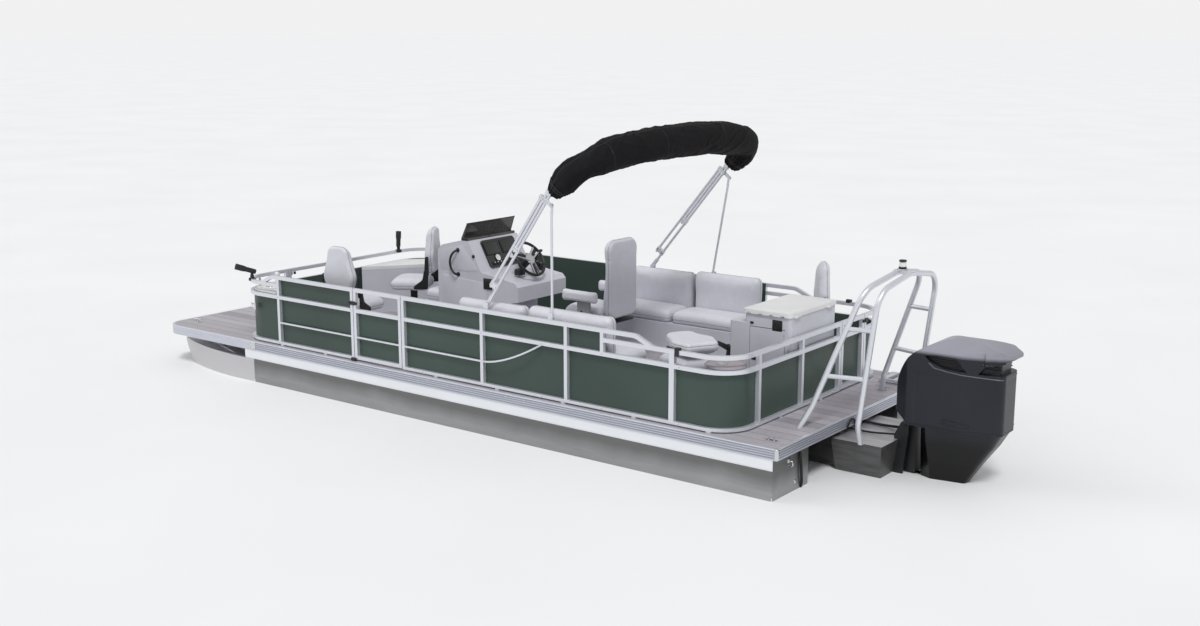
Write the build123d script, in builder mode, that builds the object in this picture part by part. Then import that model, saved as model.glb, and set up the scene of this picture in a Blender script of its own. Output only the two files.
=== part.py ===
"""Pontoon boat with three aluminium tubes, railed deck, folded bimini, tow arch and outboard motor.

Millimetres. +X forward to the bow, +Y to port, +Z up. The origin is on the waterline,
on the centreline, half way along the deck.
"""
from build123d import *
from math import cos, radians, sin
import os

os.makedirs("parts", exist_ok=True)

# Deck and its frame
DECK_LENGTH = 7160.0
BEAM = 2590.0
DECK_TOP = 400.0
DECK_BOARD = 27.0
CHANNEL_HEIGHT = 60.0
CHANNEL_WIDTH = 40.0
CHANNEL_PITCH = 430.0
RUB_RAIL = 22.0
BOW_RADIUS = 200.0

# Tubes
TUBE_WIDTH = 525.0
TUBE_DEPTH = 553.0
TUBE_SPACING = 1022.0
TUBE_STERN_GAP = 40.0
NOSE_START = 5900.0
NOSE_TIP = 7120.0
CHINE_STRIP = 5.0

# Fence round the deck
RAIL = 32.0
FENCE_INSET = 50.0
FENCE_AFT = 404.0
FENCE_FORWARD = 6020.0
FENCE_FOOT = 12.0
BOTTOM_RAIL_TOP = 37.0
MID_RAIL_TOP = 478.0
LOW_TOP_RAIL_TOP = 590.0
TOP_RAIL_TOP = 664.0
TRIM_RAIL_TOP = 228.0
TRIM_RAIL = 14.0
PANEL = 3.0
CORNER_AFT = 280.0
CORNER_BOW = 300.0
GATE_GAP = 8.0
HIGH_RAIL_AFT = 1610.0
HIGH_RAIL_FORWARD = 5430.0
SWOOP_AFT = (1380.0, 1080.0)
SWOOP_BOW = (5446.0, 5710.0)
TRIM_ARCH = (2865.0, 2200.0)
GROOVES = (-14.0, -32.0, -50.0, -68.0)
GROOVE = (7.0, 4.0)
BOW_JOINT = 5780.0

# Seats
CUSHION = 110.0
SEAT_GAP = 0.3

# Placing values
STERN_X = -DECK_LENGTH / 2
HALF_BEAM = BEAM / 2
DECK_UNDERSIDE = DECK_TOP - DECK_BOARD
FRAME_BOTTOM = DECK_UNDERSIDE - CHANNEL_HEIGHT
FENCE_HALF = HALF_BEAM - FENCE_INSET
LADDER_SIDES = (-HALF_BEAM + 365, -HALF_BEAM + 115)


def from_stern(distance):
    """Row x of a point that lies this far ahead of the deck's aft edge."""
    return STERN_X + distance


def above_deck(height):
    return DECK_TOP + height


def save(built, name):
    built.part.label = name
    export_step(built.part, f"parts/{name}.step")


def tube_section(z_top, z_bottom, half_width):
    """Flat topped, round bottomed section of a tube."""
    centre_z = z_bottom + half_width
    with BuildSketch() as section:
        with BuildLine():
            Line((-half_width, z_top), (half_width, z_top))
            Line((half_width, z_top), (half_width, centre_z))
            ThreePointArc((half_width, centre_z), (0, z_bottom), (-half_width, centre_z))
            Line((-half_width, centre_z), (-half_width, z_top))
        make_face()
    return section.sketch


# Tubes: a long round bottomed body and a nose cone that rises to the deck's front edge
def pontoon(centre_y, stern_x):
    body_end = from_stern(NOSE_START)
    nose_end = from_stern(NOSE_TIP)
    top = FRAME_BOTTOM
    bottom = FRAME_BOTTOM - TUBE_DEPTH
    half = TUBE_WIDTH / 2
    section = Plane(origin=(stern_x, centre_y, 0), x_dir=(0, 1, 0), z_dir=(1, 0, 0))
    with BuildPart() as tube:
        with BuildSketch(section):
            add(tube_section(top, bottom, half))
        extrude(amount=body_end - stern_x)
        side = Plane(origin=(0, centre_y - half, 0), x_dir=(1, 0, 0), z_dir=(0, -1, 0))
        nose_plan = Plane(origin=(0, centre_y, bottom), x_dir=(1, 0, 0), z_dir=(0, 0, 1))
        with BuildSketch(section.offset(body_end - stern_x)):
            add(tube_section(top - 90, bottom, half))
        extrude(amount=nose_end - body_end)
        with BuildSketch(side):
            with BuildLine():
                Polyline((body_end, bottom), (body_end, top), (nose_end, top), (nose_end, top - 120))
                ThreePointArc(
                    (nose_end, top - 120), (body_end + 880, bottom + 150), (body_end, bottom)
                )
            make_face()
            with BuildLine():
                Polyline((stern_x, bottom), (body_end, bottom), (body_end, top), (stern_x, top), close=True)
            make_face()
        extrude(amount=-TUBE_WIDTH, mode=Mode.INTERSECT)
        with BuildSketch(nose_plan):
            with BuildLine():
                Line((stern_x, half), (body_end, half))
                ThreePointArc((body_end, half), (body_end + 760, half * 0.72), (nose_end, 46))
                Line((nose_end, 46), (nose_end, -46))
                ThreePointArc((nose_end, -46), (body_end + 760, -half * 0.72), (body_end, -half))
                Line((body_end, -half), (stern_x, -half))
                Line((stern_x, -half), (stern_x, half))
            make_face()
        extrude(amount=TUBE_DEPTH, mode=Mode.INTERSECT)
    return tube


for tube_name, tube_y in (("tube_port", TUBE_SPACING), ("tube_starboard", -TUBE_SPACING), ("tube_centre", 0)):
    save(pontoon(tube_y, from_stern(TUBE_STERN_GAP)), tube_name)

# Bright strip along the top of each outer tube's outboard side
with BuildPart() as chine_strips:
    for side in (1, -1):
        strip_y = side * (TUBE_SPACING + TUBE_WIDTH / 2)
        with BuildSketch(Plane(origin=(from_stern(TUBE_STERN_GAP), 0, 0), x_dir=(0, 1, 0), z_dir=(1, 0, 0))):
            with BuildLine():
                Polyline(
                    (strip_y, FRAME_BOTTOM),
                    (strip_y + side * CHINE_STRIP, FRAME_BOTTOM),
                    (strip_y + side * CHINE_STRIP, FRAME_BOTTOM - 76),
                    (strip_y, FRAME_BOTTOM - 86),
                    close=True,
                )
            make_face()
        extrude(amount=NOSE_START - TUBE_STERN_GAP)
save(chine_strips, "chine_strips")

# Motor pod: a tapered box behind the centre tube with a raked transom
POD_HALF = 400.0
POD_TOP = above_deck(-130)
POD_LENGTH = 380.0
POD_RAKE = 60.0
POD_BOTTOM = FRAME_BOTTOM - TUBE_DEPTH + 20
pod_start = from_stern(TUBE_STERN_GAP)
pod_end = from_stern(-POD_LENGTH)
with BuildPart() as motor_pod:
    with BuildSketch(Plane(origin=(0, POD_HALF, 0), x_dir=(1, 0, 0), z_dir=(0, -1, 0))):
        with BuildLine():
            Polyline(
                (pod_start, POD_BOTTOM), (pod_start, POD_TOP), (pod_end, POD_TOP),
                (pod_end + POD_RAKE, POD_BOTTOM + 60), (pod_end + POD_RAKE + 120, POD_BOTTOM), close=True,
            )
        make_face()
    extrude(amount=2 * POD_HALF)
    with BuildSketch(Plane(origin=(pod_end, 0, 0), x_dir=(0, 1, 0), z_dir=(1, 0, 0))):
        with BuildLine():
            Polyline(
                (-POD_HALF, POD_TOP), (POD_HALF, POD_TOP), (POD_HALF, POD_TOP - 30),
                (POD_HALF - 150, POD_BOTTOM), (-POD_HALF + 150, POD_BOTTOM), (-POD_HALF, POD_TOP - 30), close=True,
            )
        make_face()
    extrude(amount=POD_LENGTH + TUBE_STERN_GAP, mode=Mode.INTERSECT)
save(motor_pod, "motor_pod")

# Cross channels under the deck board
channel_count = int((DECK_LENGTH - 2 * BOW_RADIUS) // CHANNEL_PITCH)
with BuildPart() as cross_channels:
    with BuildSketch(Plane.XY.offset(FRAME_BOTTOM)):
        with GridLocations(CHANNEL_PITCH, 1, channel_count, 1):
            Rectangle(CHANNEL_WIDTH, BEAM - 2 * RUB_RAIL)
    extrude(amount=CHANNEL_HEIGHT)
save(cross_channels, "cross_channels")


def deck_outline(inset):
    """Deck seen from above: square stern corners and rounded bow corners."""
    half = HALF_BEAM - inset
    bow = -STERN_X - inset
    stern = STERN_X + inset
    with BuildSketch() as outline:
        with BuildLine() as edge:
            Polyline((bow, half), (bow, -half), (stern, -half), (stern, half), close=True)
            fillet(edge.vertices().group_by(Axis.X)[-1], BOW_RADIUS - inset)
        make_face()
    return outline.sketch


with BuildPart() as deck:
    with BuildSketch(Plane.XY.offset(DECK_UNDERSIDE)):
        add(deck_outline(RUB_RAIL))
    extrude(amount=DECK_BOARD)
save(deck, "deck")

# Rub rail round the deck's edge, grooved on the sides and plain round the bow
with BuildPart() as rub_rails:
    with BuildSketch(Plane.XY.offset(FRAME_BOTTOM)):
        add(deck_outline(0))
        add(deck_outline(RUB_RAIL), mode=Mode.SUBTRACT)
    extrude(amount=CHANNEL_HEIGHT + DECK_BOARD)
    for groove_z in GROOVES:
        with BuildSketch(Plane.XY.offset(above_deck(groove_z) - GROOVE[0])):
            with Locations((from_stern(BOW_JOINT / 2 - RUB_RAIL), 0)):
                Rectangle(BOW_JOINT + 2 * RUB_RAIL, BEAM + 20)
            add(deck_outline(GROOVE[1]), mode=Mode.SUBTRACT)
        extrude(amount=GROOVE[0], mode=Mode.SUBTRACT)
    for y, out in zip(LADDER_SIDES, (1, -1)):
        with Locations((from_stern(-20), y + out * 22, above_deck(0))):
            Box(50, 8, 80)
        with BuildSketch(Plane(
            origin=(from_stern(-30), y + out * 18, above_deck(24)), x_dir=(1, 0, 0), z_dir=(0, -out, 0)
        )):
            Circle(6)
        extrude(amount=36)
save(rub_rails, "rub_rails")


# Fence
def fence_outline(inset):
    """Fence seen from above, this far inside its outer faces."""
    half = FENCE_HALF - inset
    aft = from_stern(FENCE_AFT) + inset
    forward = from_stern(FENCE_FORWARD) - inset
    with BuildSketch() as outline:
        with BuildLine() as edge:
            Polyline((forward, half), (forward, -half), (aft, -half), (aft, half), close=True)
            fillet(edge.vertices().group_by(Axis.X)[-1], CORNER_BOW - inset)
            fillet(edge.vertices().group_by(Axis.X)[0], CORNER_AFT - inset)
        make_face()
    return outline.sketch


def fence_ring(outer, inner, bottom, top):
    """A band of the fence's plan between two insets, from one height above the deck to another."""
    with BuildSketch(Plane.XY.offset(above_deck(bottom))) as band:
        add(fence_outline(outer))
        add(fence_outline(inner), mode=Mode.SUBTRACT)
    extrude(band.sketch, amount=top - bottom)


def region(boxes):
    """Keep only what lies in these boxes: x and y limits measured from the stern and the centreline."""
    with BuildSketch(Plane.XY.offset(DECK_TOP)) as kept:
        for x_low, x_high, y_low, y_high in boxes:
            with Locations((from_stern((x_low + x_high) / 2), (y_low + y_high) / 2)):
                Rectangle(x_high - x_low, y_high - y_low)
    extrude(kept.sketch, amount=1000, mode=Mode.INTERSECT)


def cut_boxes(boxes):
    """Cut boxes given by x, y and height limits from the stern, the centreline and the deck."""
    for x_low, x_high, y_low, y_high, z_low, z_high in boxes:
        with Locations((from_stern((x_low + x_high) / 2), (y_low + y_high) / 2, above_deck((z_low + z_high) / 2))):
            Box(x_high - x_low, y_high - y_low, z_high - z_low, mode=Mode.SUBTRACT)


def side_posts(table):
    """Posts of a fence: x from the stern, y, width along x, width along y, bottom, top above the deck."""
    for x, y, wide, deep, bottom, top in table:
        with Locations((from_stern(x), y, above_deck((bottom + top) / 2))):
            Box(wide, deep, top - bottom)


post_y = FENCE_HALF - RAIL / 2
low_rails = ((FENCE_FOOT, BOTTOM_RAIL_TOP), (MID_RAIL_TOP - RAIL, MID_RAIL_TOP))
low_top = (LOW_TOP_RAIL_TOP - RAIL, LOW_TOP_RAIL_TOP)
high_top = (TOP_RAIL_TOP - RAIL, TOP_RAIL_TOP)
gate_port_aft = 3800.0
gate_port_forward = 4410.0
gate_bow_starboard = 40.0
gate_bow_port = 640.0
gate_stern_port = -420.0
gate_stern_starboard = -828.0
far = 1400.0


def high_rail(side, x_low, x_high):
    with Locations((from_stern((x_low + x_high) / 2), side * post_y, above_deck((high_top[0] + high_top[1]) / 2))):
        Box(x_high - x_low, RAIL, RAIL)


def trim_rail(side, x_low, x_high):
    with Locations((
        from_stern((x_low + x_high) / 2),
        side * (FENCE_HALF - TRIM_RAIL / 2),
        above_deck(TRIM_RAIL_TOP - TRIM_RAIL / 2),
    )):
        Box(x_high - x_low, TRIM_RAIL, TRIM_RAIL)


def swoop(side, high_x, low_x):
    """High top rail that curves down to the low one between two distances from the stern."""
    high = TOP_RAIL_TOP - RAIL / 2
    low = LOW_TOP_RAIL_TOP - RAIL / 2
    run = low_x - high_x
    with BuildLine(Plane(origin=(STERN_X, side * post_y, DECK_TOP), x_dir=(1, 0, 0), z_dir=(0, -1, 0))) as path:
        FilletPolyline(
            (high_x, high), (high_x + 0.3 * run, high), (high_x + 0.85 * run, low), (low_x, low), radius=110
        )
    with BuildSketch(Plane(origin=path.line @ 0, x_dir=(0, 1, 0), z_dir=path.line % 0)) as section:
        Rectangle(RAIL, RAIL)
    sweep(section.sketch, path=path.line)


def trim_arch(side):
    """Trim rail's aft end, which arcs up to the mid rail."""
    start = (TRIM_ARCH[0], TRIM_RAIL_TOP - TRIM_RAIL / 2)
    end = (TRIM_ARCH[1], MID_RAIL_TOP - RAIL / 2)
    plane = Plane(
        origin=(STERN_X, side * (FENCE_HALF - TRIM_RAIL / 2), DECK_TOP), x_dir=(1, 0, 0), z_dir=(0, -1, 0)
    )
    with BuildLine(plane) as path:
        TangentArc(start, end, tangent=(-1, 0))
    with BuildSketch(Plane(origin=path.line @ 0, x_dir=(0, 1, 0), z_dir=path.line % 0)) as section:
        Rectangle(TRIM_RAIL, TRIM_RAIL)
    sweep(section.sketch, path=path.line)


# Bimini: where its bows and braces stand, and the tops of both, to port (1) and starboard (-1)
LEG_BASE = (2840.0, 700.0)
LEG_TOP = {1: (2150.0, 1680.0), -1: (1990.0, 1720.0)}
LEG_Y = FENCE_HALF - 60
BRACE_FOOT = (2150.0, 700.0)
BRACE_HEAD = {1: (2150.0, 1575.0), -1: (1990.0, 1600.0)}
PIN = 6.0
PIN_FIT = 0.1


def bimini_mounts(side):
    """Ears on the top rail's inner face, each with a pin for a bow or a brace."""
    for x, z in (LEG_BASE, BRACE_FOOT):
        with Locations((from_stern(x), side * (FENCE_HALF - RAIL - 6), above_deck((z + TOP_RAIL_TOP) / 2 - 8))):
            Box(44, 12, z - TOP_RAIL_TOP + 50)
        with BuildSketch(Plane(
            origin=(from_stern(x), side * (FENCE_HALF - RAIL - 6), above_deck(z)), x_dir=(1, 0, 0), z_dir=(0, -side, 0)
        )) as pin:
            Circle(PIN)
        extrude(pin.sketch, amount=FENCE_HALF - RAIL - 6 - LEG_Y + 14)


full = (FENCE_FOOT, TOP_RAIL_TOP)
short = (FENCE_FOOT, LOW_TOP_RAIL_TOP)
stern_x = FENCE_AFT + RAIL / 2
bow_x = FENCE_FORWARD - RAIL / 2
feet_x = (620, 1300, 2000, 2700, 3400)

with BuildPart() as fence_port:
    for bottom, top in low_rails + (low_top,):
        fence_ring(0, RAIL, bottom, top)
    cut_boxes([(HIGH_RAIL_AFT, HIGH_RAIL_FORWARD, -far, far, low_top[0] - 1, low_top[1] + 1)])
    region([(FENCE_AFT - 10, gate_port_aft, gate_stern_port, far)])
    bimini_mounts(1)
    side_posts([
        (gate_port_aft - RAIL / 2, post_y, RAIL, RAIL, *full),
        (2865, post_y, RAIL, RAIL, *full),
        (1970, post_y, RAIL, RAIL, *full),
        (HIGH_RAIL_AFT, post_y, RAIL, RAIL, MID_RAIL_TOP - RAIL, TOP_RAIL_TOP),
        (953, post_y, 46, RAIL, *short),
        (stern_x, 868, RAIL, RAIL, *short),
        (stern_x, 215, RAIL, RAIL, *short),
        (stern_x, gate_stern_port + RAIL / 2, RAIL, RAIL, *short),
    ])
    high_rail(1, SWOOP_AFT[0], gate_port_aft)
    swoop(1, *SWOOP_AFT)
    trim_rail(1, TRIM_ARCH[0], gate_port_aft - RAIL)
    trim_arch(1)
    for foot_x in feet_x:
        with Locations((from_stern(foot_x), post_y, above_deck(FENCE_FOOT / 2))):
            Box(40, RAIL, FENCE_FOOT)
    for foot_y in (540, -100):
        with Locations((from_stern(stern_x), foot_y, above_deck(FENCE_FOOT / 2))):
            Box(RAIL, 40, FENCE_FOOT)
save(fence_port, "fence_port")

with BuildPart() as fence_starboard:
    for bottom, top in low_rails + (low_top,):
        fence_ring(0, RAIL, bottom, top)
    cut_boxes([(HIGH_RAIL_AFT, HIGH_RAIL_FORWARD, -far, far, low_top[0] - 1, low_top[1] + 1)])
    region([
        (FENCE_AFT - 10, FENCE_FORWARD + 10, -far, gate_stern_starboard),
        (FENCE_FORWARD - CORNER_BOW, FENCE_FORWARD + 10, -far, gate_bow_starboard),
    ])
    bimini_mounts(-1)
    side_posts([
        (stern_x, gate_stern_starboard - RAIL / 2, RAIL, RAIL, *short),
        (953, -post_y, RAIL, RAIL, *short),
        (HIGH_RAIL_AFT, -post_y, RAIL, RAIL, MID_RAIL_TOP - RAIL, TOP_RAIL_TOP),
        (1970, -post_y, RAIL, RAIL, *full),
        (2865, -post_y, RAIL, RAIL, *full),
        (3800, -post_y, RAIL, RAIL, *full),
        (4410, -post_y, RAIL, RAIL, *full),
        (HIGH_RAIL_FORWARD, -post_y, RAIL, RAIL, *full),
        (bow_x, gate_bow_starboard - RAIL / 2, RAIL, RAIL, *short),
    ])
    high_rail(-1, SWOOP_AFT[0], SWOOP_BOW[0])
    swoop(-1, *SWOOP_AFT)
    swoop(-1, *SWOOP_BOW)
    trim_rail(-1, TRIM_ARCH[0], HIGH_RAIL_FORWARD - RAIL / 2)
    trim_arch(-1)
    for foot_x in feet_x + (4100, 4800, 5400):
        with Locations((from_stern(foot_x), -post_y, above_deck(FENCE_FOOT / 2))):
            Box(40, RAIL, FENCE_FOOT)
save(fence_starboard, "fence_starboard")

with BuildPart() as fence_bow:
    for bottom, top in low_rails + (low_top,):
        fence_ring(0, RAIL, bottom, top)
    cut_boxes([(HIGH_RAIL_AFT, HIGH_RAIL_FORWARD, -far, far, low_top[0] - 1, low_top[1] + 1)])
    region([(gate_port_forward, FENCE_FORWARD + 10, gate_bow_port, far)])
    side_posts([
        (gate_port_forward + RAIL / 2, post_y, RAIL, RAIL, *full),
        (HIGH_RAIL_FORWARD, post_y, RAIL, RAIL, *full),
        (bow_x, gate_bow_port + RAIL / 2, RAIL, RAIL, *short),
    ])
    high_rail(1, gate_port_forward, SWOOP_BOW[0])
    swoop(1, *SWOOP_BOW)
    trim_rail(1, gate_port_forward + RAIL, HIGH_RAIL_FORWARD)
    for foot_x in (4800, 5400):
        with Locations((from_stern(foot_x), post_y, above_deck(FENCE_FOOT / 2))):
            Box(40, RAIL, FENCE_FOOT)
save(fence_bow, "fence_bow")

# Panels: sheets that lie against the inner faces of the rails
with BuildPart() as fence_panels:
    fence_ring(RAIL, RAIL + PANEL, FENCE_FOOT, TOP_RAIL_TOP)
    cut_boxes([
        (0, HIGH_RAIL_AFT - RAIL / 2, -far, far, MID_RAIL_TOP, 900),
        (HIGH_RAIL_FORWARD + RAIL / 2, DECK_LENGTH, -far, far, MID_RAIL_TOP, 900),
    ])
    region([
        (FENCE_AFT - 10, gate_port_aft, gate_stern_port, far),
        (gate_port_forward, FENCE_FORWARD + 10, gate_bow_port, far),
        (FENCE_AFT - 10, FENCE_FORWARD + 10, -far, gate_stern_starboard),
        (FENCE_FORWARD - CORNER_BOW - RAIL, FENCE_FORWARD + 10, -far, gate_bow_starboard),
    ])
    cut_boxes([
        (x - 23, x + 23, -far, far, TOP_RAIL_TOP - 36, 900) for x in (LEG_BASE[0], BRACE_FOOT[0])
    ])
save(fence_panels, "fence_panels")


# Gate hinges: columns are gate, pivot x and y, direction of the leaf on the gate
PIVOT_IN = 8.0
KNUCKLE = 7.0
gate_hinges = {
    "gate_port": (gate_port_forward - GATE_GAP / 2, FENCE_HALF - RAIL - PANEL - PIVOT_IN, (-1, 0), (0, 1)),
    "gate_bow": (FENCE_FORWARD - RAIL - PANEL - PIVOT_IN, gate_bow_starboard + GATE_GAP / 2, (0, 1), (1, 0)),
    "gate_stern": (FENCE_AFT + RAIL + PANEL + PIVOT_IN, gate_stern_port - GATE_GAP / 2, (0, -1), (-1, 0)),
}


def hinge_half(gate, sign, heights):
    """Knuckles on a gate's pivot, each with a leaf: sign 1 is the gate's half and -1 the fence's."""
    x, y, along, out = gate_hinges[gate]
    reach = 26.0
    thick = PIVOT_IN - 1 - SEAT_GAP
    for low, high in heights:
        middle_x = from_stern(x) + sign * along[0] * reach / 2 + out[0] * (thick / 2 + 1)
        middle_y = y + sign * along[1] * reach / 2 + out[1] * (thick / 2 + 1)
        with BuildSketch(Plane.XY.offset(above_deck(low))) as half:
            with Locations((from_stern(x), y)):
                Circle(KNUCKLE)
            with Locations((middle_x, middle_y)):
                Rectangle(reach if along[0] else thick, reach if along[1] else thick)
        extrude(half.sketch, amount=high - low)


gate_halves = ((100, 140), (400, 440))
fence_halves = ((140.5, 180), (440.5, 470))
with BuildPart() as hinge_pieces:
    for gate in gate_hinges:
        hinge_half(gate, -1, fence_halves)
save(hinge_pieces, "gate_hinges")

gate_low = FENCE_FOOT + 6
aft_edge = gate_port_aft + GATE_GAP
forward_edge = gate_port_forward - GATE_GAP
with BuildPart() as gate_port_frame:
    for bottom, top in ((gate_low, gate_low + RAIL), (MID_RAIL_TOP - RAIL, MID_RAIL_TOP), high_top):
        fence_ring(0, RAIL, bottom, top)
    region([(aft_edge, forward_edge, 0, far)])
    side_posts([
        (aft_edge + RAIL / 2, post_y, RAIL, RAIL, gate_low, TOP_RAIL_TOP),
        (forward_edge - RAIL / 2, post_y, RAIL, RAIL, gate_low, TOP_RAIL_TOP),
    ])
    trim_rail(1, aft_edge + RAIL, forward_edge - RAIL)
    hinge_half("gate_port", 1, gate_halves)
save(gate_port_frame, "gate_port_frame")

with BuildPart() as gate_port_panel:
    fence_ring(RAIL, RAIL + PANEL, gate_low, MID_RAIL_TOP)
    region([(aft_edge, forward_edge, 0, far)])
save(gate_port_panel, "gate_port_panel")

for gate_name, gate_region, gate_posts in (
    (
        "gate_bow",
        (FENCE_FORWARD - 100, FENCE_FORWARD + 10, gate_bow_starboard + GATE_GAP, gate_bow_port - GATE_GAP),
        (
            (bow_x, gate_bow_starboard + GATE_GAP + RAIL / 2, RAIL, RAIL, gate_low, LOW_TOP_RAIL_TOP),
            (bow_x, gate_bow_port - GATE_GAP - RAIL / 2, RAIL, RAIL, gate_low, LOW_TOP_RAIL_TOP),
        ),
    ),
    (
        "gate_stern",
        (FENCE_AFT - 10, FENCE_AFT + 100, gate_stern_starboard + GATE_GAP, gate_stern_port - GATE_GAP),
        (
            (stern_x, gate_stern_starboard + GATE_GAP + RAIL / 2, RAIL, RAIL, gate_low, LOW_TOP_RAIL_TOP),
            (stern_x, gate_stern_port - GATE_GAP - RAIL / 2, RAIL, RAIL, gate_low, LOW_TOP_RAIL_TOP),
        ),
    ),
):
    with BuildPart() as gate_leaf:
        for bottom, top in ((gate_low, gate_low + RAIL), (MID_RAIL_TOP - RAIL, MID_RAIL_TOP), low_top):
            fence_ring(0, RAIL, bottom, top)
        region([gate_region])
        side_posts(gate_posts)
        hinge_half(gate_name, 1, gate_halves)
    save(gate_leaf, f"{gate_name}_frame")
    with BuildPart() as gate_sheet:
        fence_ring(RAIL, RAIL + PANEL, gate_low, MID_RAIL_TOP)
        region([gate_region])
    save(gate_sheet, f"{gate_name}_panel")


def rounded_block(x_low, x_high, y_low, y_high, z_low, z_high, corner, edge=0):
    """A block with rounded corners, its limits from the stern, the centreline and the deck."""
    with BuildSketch(Plane.XY.offset(above_deck(z_low))) as outline:
        with Locations((from_stern((x_low + x_high) / 2), (y_low + y_high) / 2)):
            RectangleRounded(x_high - x_low, y_high - y_low, corner)
    extrude(outline.sketch, amount=z_high - z_low)


# Lounge seats: moulded bases with a cushion on each and back cushions along the fence
# columns: name, x low, x high, y low, y high
LOUNGE_OUT = FENCE_HALF - 95
lounges = (
    ("port", 1560, 3260, LOUNGE_OUT - 510, LOUNGE_OUT),
    ("starboard", 1540, 3000, -LOUNGE_OUT, 510 - LOUNGE_OUT),
    ("console", 4640, 4860, -760, -120),
)
LOUNGE_TOP = 300.0
with BuildPart() as lounge_bases:
    for _, x_low, x_high, y_low, y_high in lounges:
        rounded_block(x_low, x_high, y_low, y_high, 0, LOUNGE_TOP, 30)
save(lounge_bases, "lounge_bases")

with BuildPart() as lounge_seats:
    for _, x_low, x_high, y_low, y_high in lounges[:2]:
        middle = (x_low + x_high) / 2
        seat_low = y_low if y_low > 0 else y_low + 130
        seat_high = y_high - 130 if y_low > 0 else y_high
        for start, end in ((x_low, middle - 1), (middle + 1, x_high)):
            rounded_block(start, end, seat_low, seat_high, LOUNGE_TOP + SEAT_GAP, LOUNGE_TOP + CUSHION, 40)
    _, x_low, x_high, y_low, y_high = lounges[2]
    rounded_block(x_low, x_high, y_low, y_high, LOUNGE_TOP + SEAT_GAP, LOUNGE_TOP + CUSHION, 40)
save(lounge_seats, "lounge_seats")

# columns: x low, x high, y low, y high, top
backs = (
    (2480, 3240, LOUNGE_OUT - 124, LOUNGE_OUT, 715),
    (1590, 2470, LOUNGE_OUT - 124, LOUNGE_OUT, 735),
    (2280, 2980, -LOUNGE_OUT, 124 - LOUNGE_OUT, 715),
    (1560, 2270, -LOUNGE_OUT, 124 - LOUNGE_OUT, 735),
)
with BuildPart() as lounge_backs:
    for x_low, x_high, y_low, y_high, top in backs:
        rounded_block(x_low, x_high, y_low, y_high, LOUNGE_TOP + SEAT_GAP, top, 40)
save(lounge_backs, "lounge_backs")

LID_KNUCKLE = 6.0


def lid_hinge(x, z, reach, up, spans):
    """Knuckles along a lid's axis, each with a leaf this far along x: up is 1 for the lid's half, -1 for the box's."""
    for low, high in spans:
        with BuildSketch(Plane(
            origin=(from_stern(x), low, above_deck(z)), x_dir=(1, 0, 0), z_dir=(0, 1, 0)
        )) as half:
            Circle(LID_KNUCKLE)
            with Locations((reach / 2, -up * 3.5)):
                Rectangle(abs(reach), 5)
        extrude(half.sketch, amount=high - low)


# Bow locker in the starboard corner, with a lid on its slanted front box
LOCKER_TOP = 490.0
LOCKER_FRONT = 5940.0
LOCKER_OUT = FENCE_HALF - 75
locker_points = (
    (LOCKER_FRONT, -300), (LOCKER_FRONT, 250 - LOCKER_OUT), (5700, -LOCKER_OUT), (5330, -LOCKER_OUT),
    (5330, 80 - LOCKER_OUT),
)
locker_hinge = (LOCKER_FRONT + 7, LOCKER_TOP - 30, -8)
with BuildPart() as bow_locker:
    with BuildSketch(Plane.XY.offset(DECK_TOP)):
        with BuildLine():
            Polyline(*[(from_stern(x), y) for x, y in locker_points], close=True)
        make_face()
    extrude(amount=LOCKER_TOP - 30)
    lid_hinge(*locker_hinge, -1, ((-880, -840), (-420, -380)))
save(bow_locker, "bow_locker")
with BuildPart() as bow_locker_lid:
    with BuildSketch(Plane.XY.offset(above_deck(LOCKER_TOP - 30 + SEAT_GAP))):
        with BuildLine():
            Polyline(*[(from_stern(x), y) for x, y in locker_points], close=True)
        make_face()
    extrude(amount=30)
    lid_hinge(*locker_hinge, 1, ((-839.5, -800), (-379.5, -340)))
save(bow_locker_lid, "bow_locker_lid")

# Fishing chairs: columns are name, x, y, heading in degrees from the bow, folded
chairs = (
    ("bow_port_chair", 4840, 800, 275, False),
    ("bow_starboard_chair", 5210, -330, 30, False),
    ("aft_port_chair", 1040, 850, 330, True),
    ("aft_starboard_chair", 1028, -794, 37, False),
)
PEDESTAL_RADIUS = 36.0
PEDESTAL_HEIGHT = 320.0
SWIVEL_RADIUS = 90.0
CHAIR_HINGE_X = -190.0
CHAIR_HINGE_Z = 540.0
helm_chair_at = (2800, -262)

with BuildPart() as chair_pedestals:
    for x, y in [(row[1], row[2]) for row in chairs] + [helm_chair_at]:
        with BuildSketch(Plane.XY.offset(DECK_TOP)):
            with Locations((from_stern(x), y)):
                Circle(130)
        extrude(amount=10)
        with BuildSketch(Plane.XY.offset(above_deck(10))):
            with Locations((from_stern(x), y)):
                Circle(PEDESTAL_RADIUS)
        extrude(amount=PEDESTAL_HEIGHT - 10)
save(chair_pedestals, "chair_pedestals")


def chair_plane(x, y, heading, height):
    turn = radians(heading)
    return Plane(
        origin=(from_stern(x), y, above_deck(height)), x_dir=(cos(turn), sin(turn), 0), z_dir=(0, 0, 1)
    )


def side_plane(x, y, heading, offset):
    """Upright plane along a chair's heading, with its height measured from the deck."""
    turn = radians(heading)
    side = (-sin(turn), cos(turn))
    return Plane(
        origin=(from_stern(x) + side[0] * offset, y + side[1] * offset, DECK_TOP),
        x_dir=(cos(turn), sin(turn), 0),
        z_dir=(sin(turn), -cos(turn), 0),
    )


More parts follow.
